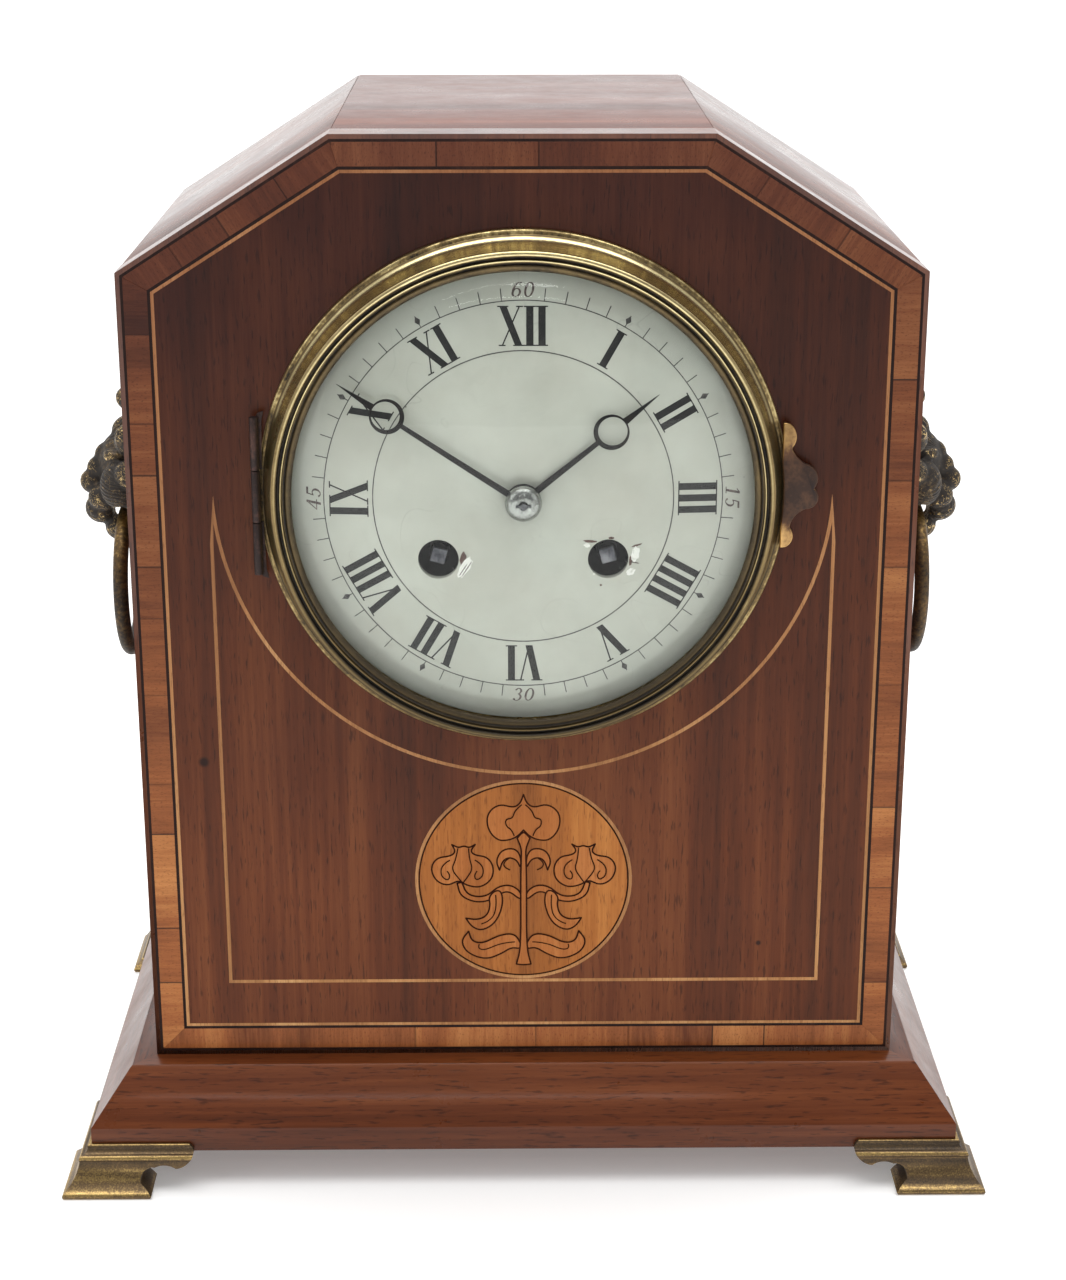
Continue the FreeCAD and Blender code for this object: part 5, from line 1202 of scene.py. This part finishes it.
@dataclass
class Dial:
    """Enamel dial with its numerals, track and small digits."""

    crown: float = -8.3              # depth of the dial's middle
    sphere: float = 624.0            # radius of its curve
    plate_round: float = 0.35
    foot_of_numerals: float = 43.5
    tall: float = 11.0
    thick_stroke: float = 2.0
    thin_stroke: float = 0.42
    serif: float = 0.34
    ink: float = 0.05                # thickness of one layer
    circles: tuple[Point, ...] = ((42.1, 0.3), (55.9, 0.28))      # radius and width of the line
    minute_stroke: Triple = (56.1, 59.6, 0.26)                    # its foot, its head and its width
    lozenge: tuple[Point, ...] = ((-0.85, 58.1), (0, 56.7), (0.85, 58.1), (0, 59.5))
    digit_tall: float = 4.1
    digit_foot: float = 56.9
    digit_step: float = 3.4
    digit_lean: float = 0.2
    digit_stroke: Point = (0.62, 0.26)                            # its width at the sides and at the top
    hour_letters: tuple[str, ...] = ("XII", "I", "II", "III", "IIII", "V", "VI", "VII", "VIII", "IX", "X", "XI")
    letter_width: dict[str, float] = field(default_factory=lambda: {"I": 3.35, "V": 6.9, "X": 7.1})
    # chipped enamel by the winding holes, dark spots of stain and painted shadow, pale ones of painted highlight:
    # place, half width, half height and turn of each spot
    shadow_and_stain_spots: tuple[Triple, ...] = (
        (-17.0, -17.4, 0.95, 2.3, 8), (18.8, -12.2, 1.9, 0.42, 4), (32.0, -13.6, 1.6, 0.28, -16),
        (30.4, -18.0, 0.55, 1.7, 8), (24.8, -11.3, 0.9, 0.4, 0), (22.0, -25.3, 0.35, 0.3, 0))
    chip_highlights: tuple[Triple, ...] = (
        (-16.6, -20.0, 1.35, 3.7, 32), (18.0, -13.4, 0.95, 0.7, 20), (31.7, -16.2, 1.2, 2.3, 10),
        (30.4, -21.4, 1.45, 1.05, -30), (20.0, -21.9, 0.3, 0.3, 0))
    cracks: tuple[Triple, ...] = (
        (-15.9, -20.1, 0.13, 2.9, 32), (-17.0, -20.5, 0.12, 2.5, 32), (31.6, -18.7, 1.3, 0.14, 12))
    seed: int = 19

    def build(self) -> None:
        """Builds the dial's plate and everything printed on it."""
        plate = Piece.of_node("dial").rounded(self.plate_round, 3, 50.0)
        plate.finish("dial_plate", ENAMEL, "case", "enamel", ["dial"], smooth=50)
        self.numerals()
        self.track()
        self.digits()
        self.chips()

    def settle(self, piece: Piece, name: str, finish: Finish, lift: float = 1.0) -> None:
        """Lays a finished drawing on the dial's curve.

        Args:
            piece: Drawing whose points are across and up, in mm.
            name: Object name.
            finish: Its ink.
            lift: Layer, 1 for the lowest.
        """
        for vert in piece.bm.verts:
            radius = math.hypot(vert.co.x, vert.co.z)
            depth = self.crown + self.sphere - math.sqrt(self.sphere ** 2 - radius ** 2)
            vert.co = at(vert.co.x, depth - self.ink * lift, DIAL_Z + vert.co.z)
        thickened(piece.bm, self.ink * (lift + 0.6))
        piece.finish(name, finish, "case", "enamel")

    def bar(self, bm: BMesh, foot: Point, head: Point, width: float) -> Verts:
        """Draws a stroke with level ends.

        Args:
            bm: Drawing.
            foot: Middle of its lower end.
            head: Middle of its upper end.
            width: Its width.

        Returns:
            Its corners.
        """
        half = width / 2
        sides = ((foot, -half), (foot, half), (head, half), (head, -half))
        verts = [bm.verts.new((end[0] + side, 0, end[1])) for end, side in sides]
        bm.faces.new(verts)
        return verts

    def letter(self, bm: BMesh, kind: str, x: float) -> Verts:
        """Draws one letter of a numeral.

        Args:
            bm: Drawing.
            kind: I, V or X.
            x: Its middle.

        Returns:
            Its points.
        """
        tall, thick, thin = self.tall, self.thick_stroke, self.thin_stroke
        strokes = {"I": ((0, 0, thick),), "V": ((0.1, -2.2, thick), (0.1, 2.5, thin)),
                   "X": ((2.2, -2.2, thick), (-2.4, 2.4, thin))}
        serifs = {"I": ((0, 0, thick + 1.3), (0, tall, thick + 1.3)),
                  "V": ((-2.2, tall, thick + 1.2), (2.5, tall, 2.0)),
                  "X": ((-2.2, tall, thick + 1.1), (2.4, tall, 1.9), (2.2, 0, thick + 1.1), (-2.4, 0, 1.9))}
        verts: Verts = []
        for foot, head, width in strokes[kind]:
            verts += self.bar(bm, (x + foot, 0), (x + head, tall), width)
        for middle, level, reach in serifs[kind]:
            low = level - self.serif if level else 0
            verts += self.bar(bm, (x + middle, low), (x + middle, low + self.serif), reach)
        return verts

    def numerals(self) -> None:
        """Draws the twelve numerals with their tops outwards."""
        piece = Piece()
        bm = piece.bm
        for hour, letters in enumerate(self.hour_letters):
            x = -sum(self.letter_width[kind] for kind in letters) / 2
            verts: Verts = []
            for kind in letters:
                half = self.letter_width[kind] / 2
                verts += self.letter(bm, kind, x + half)
                x += 2 * half
            bmesh.ops.translate(bm, verts=verts, vec=(0, 0, self.foot_of_numerals))
            bmesh.ops.transform(bm, verts=verts, matrix=turned(30 * hour))
        self.settle(piece, "dial_numerals", BLACK_INK)

    def track(self) -> None:
        """Draws the circles, the minute strokes and their lozenges."""
        piece = Piece()
        bm = piece.bm
        for radius, width in self.circles:
            loops = []
            for r in (radius, radius + width):
                made = bmesh.ops.create_circle(bm, cap_ends=False, segments=180, radius=r, matrix=FACING)
                loops += edges_at(made["verts"])
            bmesh.ops.bridge_loops(bm, edges=loops)
        foot, head, width = self.minute_stroke
        for minute in range(60):
            if minute % 15 == 0:
                continue
            verts = self.bar(bm, (0, foot), (0, head), width)
            if minute % 5 == 0:
                lozenge = [bm.verts.new((x, 0, z)) for x, z in self.lozenge]
                bm.faces.new(lozenge)
                verts += lozenge
            bmesh.ops.transform(bm, verts=verts, matrix=turned(6 * minute))
        self.settle(piece, "dial_minute_track", TRACK_INK)

    def bowl(self, bm: BMesh, centre: Point, size: Point, start: float, sweep: float) -> Verts:
        """Draws an arc of an oval stroke, thick at its sides and thin at its top and foot.

        Args:
            bm: Drawing.
            centre: Its middle.
            size: Half width and half height.
            start: Angle of its start in degrees, from the right, upwards.
            sweep: Angle that it covers.

        Returns:
            Its points.
        """
        angle = math.radians(start)
        ends = [bm.verts.new((r * math.cos(angle), 0, r * math.sin(angle))) for r in (0.5, 1.0)]
        edge = bm.edges.new(ends)
        before = set(bm.verts) - set(ends)
        bmesh.ops.spin(bm, geom=[*ends, edge], cent=(0, 0, 0), axis=(0, -1, 0), dvec=(0, 0, 0),
                       angle=math.radians(sweep), steps=max(6, int(sweep / 15)), use_merge=sweep >= 360)
        made = [v for v in bm.verts if v not in before]
        inner = ((size[0] - self.digit_stroke[0]) * 2, (size[1] - self.digit_stroke[1]) * 2)
        for vert in made:
            half = size if vert.co.length > 0.75 else inner
            vert.co.x, vert.co.z = centre[0] + vert.co.x * half[0], centre[1] + vert.co.z * half[1]
        return made

    def digit(self, bm: BMesh, kind: str) -> Verts:
        """Draws one small digit about the middle of its foot.

        Args:
            bm: Drawing.
            kind: The digit.

        Returns:
            Its points.
        """
        tall = self.digit_tall
        bars = {"1": (((0, 0), (0, tall), 0.7), ((0, 0), (0, 0.25), 1.9), ((-0.95, tall * 0.8), (-0.1, tall), 0.4)),
                "4": (((-1.4, tall * 0.3), (0.5, tall), 0.34), ((0.5, 0), (0.5, tall), 0.7),
                      ((0, tall * 0.26), (0, tall * 0.33), 3.0)),
                "5": (((0.3, tall - 0.5), (0.3, tall), 1.9), ((-0.8, tall * 0.5), (-0.6, tall), 0.32))}
        bowls = {"0": (((0, tall / 2), (1.35, tall / 2), 0, 360),),
                 "3": (((0, tall * 0.76), (1.1, tall * 0.25), -80, 240),
                       ((0, tall * 0.29), (1.3, tall * 0.3), -160, 250)),
                 "5": (((-0.05, tall * 0.31), (1.3, tall * 0.32), -150, 280),),
                 "6": (((0, tall * 0.31), (1.3, tall * 0.31), 0, 360),
                       ((0.6, tall * 0.42), (1.9, tall * 0.58), 70, 110))}
        made = [self.bar(bm, *stroke) for stroke in bars.get(kind, ())]
        made += [self.bowl(bm, *arc) for arc in bowls.get(kind, ())]
        return [vert for verts in made for vert in verts]

    def digits(self) -> None:
        """Draws 15, 30, 45 and 60 outside the minute track, 30 the other way up."""
        piece = Piece()
        bm = piece.bm
        lean = Matrix.Identity(4)
        lean[0][2] = self.digit_lean
        foot = self.digit_foot
        for text, turn, level in (("60", 0, foot), ("15", 90, foot), ("30", 0, -foot - self.digit_tall),
                                  ("45", 270, foot)):
            for number, kind in enumerate(text):
                verts = self.digit(bm, kind)
                bmesh.ops.transform(bm, verts=verts, matrix=lean)
                bmesh.ops.translate(bm, verts=verts, vec=((number - 0.5) * self.digit_step - 0.4, 0, level))
                bmesh.ops.transform(bm, verts=verts, matrix=turned(turn))
        self.settle(piece, "dial_digits", GREY_INK)

    def chips(self) -> None:
        """Draws the chipped enamel as dark spots of stain and painted shadow, with pale spots of painted highlight and
        fine lines on them.
        """
        chance = random.Random(self.seed)
        # dark spots are stain and painted shadow, pale spots painted highlight
        for name, spots, finish, layer in (("dial_shadows_and_stains", self.shadow_and_stain_spots, SHADOW_AND_STAIN_INK, 1.3),
                                           ("dial_chip_highlights", self.chip_highlights, CHIP_HIGHLIGHT_INK, 1.9),
                                           ("dial_chip_lines", self.cracks, GREY_INK, 2.4)):
            piece = Piece()
            for x, z, wide, tall, turn in spots:
                verts = bmesh.ops.create_circle(piece.bm, cap_ends=True, segments=18, radius=1.0,
                                                matrix=FACING)["verts"]
                for vert in verts:
                    vert.co *= chance.uniform(0.78, 1.12)
                place = Matrix.Translation((x, 0, z)) @ turned(turn) @ Matrix.Diagonal((wide, 1, tall, 1))
                bmesh.ops.transform(piece.bm, verts=verts, matrix=place)
            self.settle(piece, name, finish, layer)


@dataclass
class Hands:
    """Moon hands, their collet and the winding squares."""

    hand_round: float = 0.16
    collet_round: float = 0.2
    square_round: float = 0.28

    def build(self) -> None:
        """Builds them with softened edges."""
        for node, ending, finish, body, slot, width in (
                ("hour_hand", "_filed", BLACK_STEEL, "hour_group", "dark_steel", self.hand_round),
                ("minute_hand", "_filed", BLACK_STEEL, "minute_group", "dark_steel", self.hand_round),
                ("hand_collet", "_turned", COLLET_STEEL, "minute_group", "steel", self.collet_round),
                ("going_winding_arbor", "_square", KEY_STEEL, "going_arbor_body", "steel", self.square_round),
                ("strike_winding_arbor", "_square", KEY_STEEL, "strike_arbor_body", "steel", self.square_round)):
            Piece.of_node(node).rounded(width, 2, 40.0).finish(node + ending, finish, body, slot, [node])


# Lion-mask handles
@dataclass
class MaskHandles:
    """Lion masks with drop rings on both sides of the case.

    The forms of the head are ellipsoids: the place of the middle (out, across, up), the half sizes the same way,
    and for those on both sides the lean about the outward axis in degrees.
    """

    half_width: float = 112.5
    depth: float = 79.0
    height: float = 202.0
    voxel: float = 0.5
    mouth_out: float = 12.4
    mouth_z: float = 186.0
    mouth_radius: float = 4.6
    ring_radius: float = 22.5
    ring_wire: float = 2.35
    outer_locks: int = 16
    inner_locks: Triple = (-136, -94, -50, 50, 94, 136)
    skull: tuple[tuple[Triple, Triple], ...] = (((3.0, 0, 0), (9.0, 18.0, 19.0)), ((10.5, 0, -1.0), (10.3, 9.6, 12.0)))
    middle: tuple[tuple[Triple, Triple], ...] = (
        ((8.2, 0, 20.2), (6.2, 3.6, 4.6)), ((10.0, 0, 9.4), (6.2, 5.0, 5.6)),
        ((22.4, 0, -6.6), (4.6, 3.8, 4.2)), ((20.3, 0, -15.2), (5.5, 5.6, 5.0)),
        ((17.6, 0, 1.6), (4.4, 3.4, 4.6)), ((20.2, 0, -2.4), (4.4, 3.4, 4.2)),
        ((14.4, 0, -21.4), (5.4, 5.4, 4.6)), ((12.6, 0, -25.6), (2.6, 2.8, 3.2)))
    sides: tuple[tuple[Triple, Triple, float], ...] = (
        ((14.0, 5.4, 3.2), (4.4, 4.4, 2.6), 0.0), ((18.6, 4.3, -10.6), (5.4, 4.8, 4.4), 0.0),
        ((12.0, 9.6, -5.5), (7.2, 6.4, 8.0), 0.0), ((9.0, 12.6, 10.5), (4.4, 3.4, 5.2), 35.0),
        ((8.0, 8.0, -20.5), (5.0, 3.2, 6.4), 200.0), ((14.8, 6.2, -0.6), (2.6, 2.2, 1.7), 0.0))

    def lobes(self) -> list[tuple[Triple, Triple, float]]:
        """Lists every rounded form of the head.

        Returns:
            The middle, half sizes and lean of each.
        """
        def lock(out: float, radius: float, size: Triple, turn: float) -> tuple[Triple, Triple, float]:
            """Returns a lock of the mane, turned clockwise from the top."""
            angle = math.radians(turn)
            return (out, radius * math.sin(angle), radius * math.cos(angle)), size, turn

        around = [360.0 * i / self.outer_locks for i in range(self.outer_locks)]
        return [*[(place, size, 0.0) for place, size in self.skull],
                *[lock(3.0, 19.6, (4.2, 3.4, 5.2), turn) for turn in around],
                *[lock(8.4, 13.4, (5.6, 4.9, 5.6), turn) for turn in self.inner_locks],
                *[(place, size, 0.0) for place, size in self.middle],
                *[((out, side * across, up), size, side * lean) for side in (-1, 1)
                  for (out, across, up), size, lean in self.sides]]

    def head(self) -> BMesh:
        """Melts the forms of the right-hand head into one surface, cut flat at the wall.

        Returns:
            The head.
        """
        lumps = bmesh.new()
        origin = at(self.half_width, self.depth, self.height)
        for centre, size, lean in self.lobes():
            place = (Matrix.Translation(origin + Vector(centre) * MM) @ Matrix.Rotation(-math.radians(lean), 4, "X")
                     @ Matrix.Diagonal((*[s * MM for s in size], 1.0)))
            bmesh.ops.create_icosphere(lumps, subdivisions=3, radius=1.0, matrix=place)
        work = linked("mask_work", meshed(lumps, "mask_work"))
        melt = work.modifiers.new("melt", "REMESH")
        melt.mode, melt.voxel_size = "VOXEL", self.voxel * MM
        ease = work.modifiers.new("ease", "SMOOTH")
        ease.factor, ease.iterations = 0.5, 5
        bm = settled(work)
        bmesh.ops.bisect_plane(bm, geom=[*bm.verts, *bm.edges, *bm.faces], plane_co=(self.half_width * MM, 0, 0),
                               plane_no=(1, 0, 0), clear_inner=True, dist=1e-7)
        bmesh.ops.edgeloop_fill(bm, edges=[e for e in bm.edges if e.is_boundary])
        return bm

    def with_mouth(self, bm: BMesh) -> BMesh:
        """Cuts the hole that the ring hangs in.

        Args:
            bm: A head, which is freed.

        Returns:
            The head with its hole.
        """
        tool = bmesh.new()
        middle = at(self.half_width + self.mouth_out, self.depth, self.mouth_z)
        bmesh.ops.create_cone(tool, cap_ends=True, segments=40, radius1=self.mouth_radius * MM,
                              radius2=self.mouth_radius * MM, depth=0.08, matrix=Matrix.Translation(middle) @ FACING)
        cutter = linked("mouth_tool", meshed(tool, "mouth_tool"))
        work = linked("mask_solid", meshed(bm, "mask_solid"))
        cut = work.modifiers.new("mouth", "BOOLEAN")
        cut.operation, cut.object, cut.solver = "DIFFERENCE", cutter, "EXACT"
        result = settled(work)
        bpy.data.meshes.remove(cutter.data)
        return result

    def build(self) -> None:
        """Builds both masks and both rings."""
        right = self.with_mouth(self.head())
        for side, name in ((1, "right"), (-1, "left")):
            piece = Piece(right.copy())
            if side < 0:
                bmesh.ops.scale(piece.bm, vec=(-1, 1, 1), verts=piece.bm.verts)
                bmesh.ops.recalc_face_normals(piece.bm, faces=piece.bm.faces)
            piece.finish("lion_mask_" + name, MASK_BRASS, "case", "aged_brass", ["mask_" + name], smooth=60)
            self.ring(side, name)
        right.free()

    def ring(self, side: int, name: str) -> None:
        """Builds the drop ring on one side.

        Args:
            side: 1 for the right or -1 for the left.
            name: The side's name.
        """
        piece = Piece()
        centre = at(side * (self.half_width + self.mouth_out), self.depth, self.mouth_z - self.ring_radius)
        top = Matrix.Translation(centre + Vector((0, 0, self.ring_radius * MM)))
        made = bmesh.ops.create_circle(piece.bm, cap_ends=False, segments=28, radius=self.ring_wire * MM,
                                       matrix=top @ FACING)
        piece.spun(made["verts"] + edges_at(made["verts"]), centre, (1, 0, 0), 110, 0.00001)
        piece.finish("drop_ring_" + name, RING_BRASS, f"ring_{name}_body", "aged_brass", ["ring_" + name], smooth=80)


# Movement and back
@dataclass
class Movement:
    """Plates, trains, pendulum, bell and the back's furniture."""

    back_round: float = 0.2
    brass: tuple[str, ...] = ("back_plate", "pillars", "going_barrel", "strike_barrel", "second_wheel",
                              "centre_wheel", "third_wheel", "escape_wheel", "strike_second_wheel", "pin_wheel",
                              "locking_wheel", "fly", "minute_wheel", "hour_wheel", "cannon_pinion",
                              "suspension_cock", "pendulum_bob", "case_straps")
    steel: tuple[str, ...] = ("ratchet_clicks", "pallets", "pendulum_rod", "lifting_lever", "locking_lever", "hammer",
                              "bell_stand")

    def build(self) -> None:
        """Dresses the movement and builds the back's furniture."""
        dress(MOVEMENT_BRASS, *self.brass)
        dress(DULL_STEEL, *self.steel)
        dress(DARK_PLATE, "front_plate")
        Piece.of_node("bell").finish("bell_cast", BELL_METAL, "case", "bell_metal", ["bell"], smooth=50)
        for node, name, body in (("back_bezel", "back_bezel_turned", "case"),
                                 ("back_door", "back_door_spun", "rear_door")):
            Piece.of_node(node).rounded(self.back_round).finish(name, DOOR_BRASS, body, "gilt_brass", [node])


# Studio
@dataclass
class Studio:
    """Pale floor, soft lamps and the photograph's camera."""

    floor_reach: float = 90.0
    # name, place, target, width and height, and power of each lamp
    lamps: tuple[tuple[str, Triple, Triple, Point, float], ...] = (
        ("over_lamp", (0.0, -0.08, 1.5), (0.0, 0.0, 0.1), (1.6, 1.3), 8.0),
        ("glint_lamp", (-0.06, -0.9, 0.672), (0.0, -0.08, 0.275), (0.42, 0.014), 0.24),
        ("left_lamp", (-1.35, -0.75, 0.95), (0.0, 0.0, 0.16), (0.8, 1.0), 3.2),
        ("right_lamp", (1.45, -0.85, 0.85), (0.0, 0.0, 0.16), (0.8, 1.0), 2.5))
    camera_place: Triple = (-0.0046, -0.7400, 0.3981)
    camera_down: float = 18.79       # degrees that the camera looks down
    camera_turn: float = -0.63
    lens: float = 69.16
    sensor: float = 36.0

    def build(self) -> None:
        """Builds the floor, the lamps, the surroundings and the camera."""
        self.floor()
        for name, place, target, size, power in self.lamps:
            light = bpy.data.lights.new(name, "AREA")
            light.shape, light.size, light.size_y, light.energy = "RECTANGLE", *size, power
            lamp = linked(name, light)
            lamp.location = place
            lamp.rotation_euler = (Vector(target) - Vector(place)).to_track_quat("-Z", "Y").to_euler()
        self.sky_lamp()
        self.surroundings()
        self.camera()

    def floor(self) -> None:
        """Builds the pale floor."""
        bm = bmesh.new()
        bmesh.ops.create_grid(bm, x_segments=8, y_segments=8, size=self.floor_reach)
        graph = Paint("studio_paper", {"Roughness": 0.75, "Specular IOR Level": 0.15, "Emission Strength": 0.2,
                                       "Emission Color": WHITE})
        tone = graph.mix(graph.place().noise(3.0, 2.0), shade(244, 244, 243), shade(248, 248, 247))
        floor = linked("studio_floor", meshed(bm, "studio_floor"))
        floor.data.materials.append(graph.paint(Base_Color=tone))

    def sky_lamp(self) -> None:
        """Adds very soft light from above, which whitens the floor and hardly reaches the front."""
        light = bpy.data.lights.new("sky_lamp", "SUN")
        light.energy, light.angle = 1.6, math.radians(70)
        linked("sky_lamp", light).rotation_euler = (math.radians(-8), 0, 0)

    def surroundings(self) -> None:
        """Makes the room, lighter behind than in front, which the camera itself sees as plain white."""
        world = bpy.data.worlds.new("studio_room")
        bpy.context.scene.world = world
        graph = Graph(world)
        depth = graph.node("TexCoord", "Generated").axis("Y").spread(-0.9, 0.8)
        room = graph.tree.nodes["Background"]
        graph.feed(room.inputs["Color"], depth.ramp((0.0, (0.20, 0.20, 0.21, 1.0)), (1.0, WHITE)))
        room.inputs["Strength"].default_value = 1.1
        graph.show(graph.node("LightPath", "Is Camera Ray"), Wire(graph, room.outputs["Background"]),
                   graph.node("Background", "Background", {"Color": WHITE}), "World Output")
        bpy.context.scene.view_settings.view_transform = "Standard"

    def camera(self) -> None:
        """Places the camera as the photograph's."""
        data = bpy.data.cameras.new("photograph_camera")
        data.sensor_width, data.lens = self.sensor, self.lens
        camera = linked("photograph_camera", data)
        camera.location = self.camera_place
        camera.rotation_euler = (math.radians(90 - self.camera_down), 0, math.radians(self.camera_turn))
        bpy.context.scene.camera = camera


def main() -> None:
    """Builds the clock's looks, piece by piece."""
    logging.basicConfig(level=logging.INFO, format="%(message)s")
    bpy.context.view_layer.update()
    for part in (Case(), FrontInlay(), Marquetry(), Base(), Bezel(), Dial(), Hands(), MaskHandles(), Movement(),
                 Studio()):
        log.info("building %s", type(part).__name__)
        part.build()


if __name__ == "__main__":
    main()
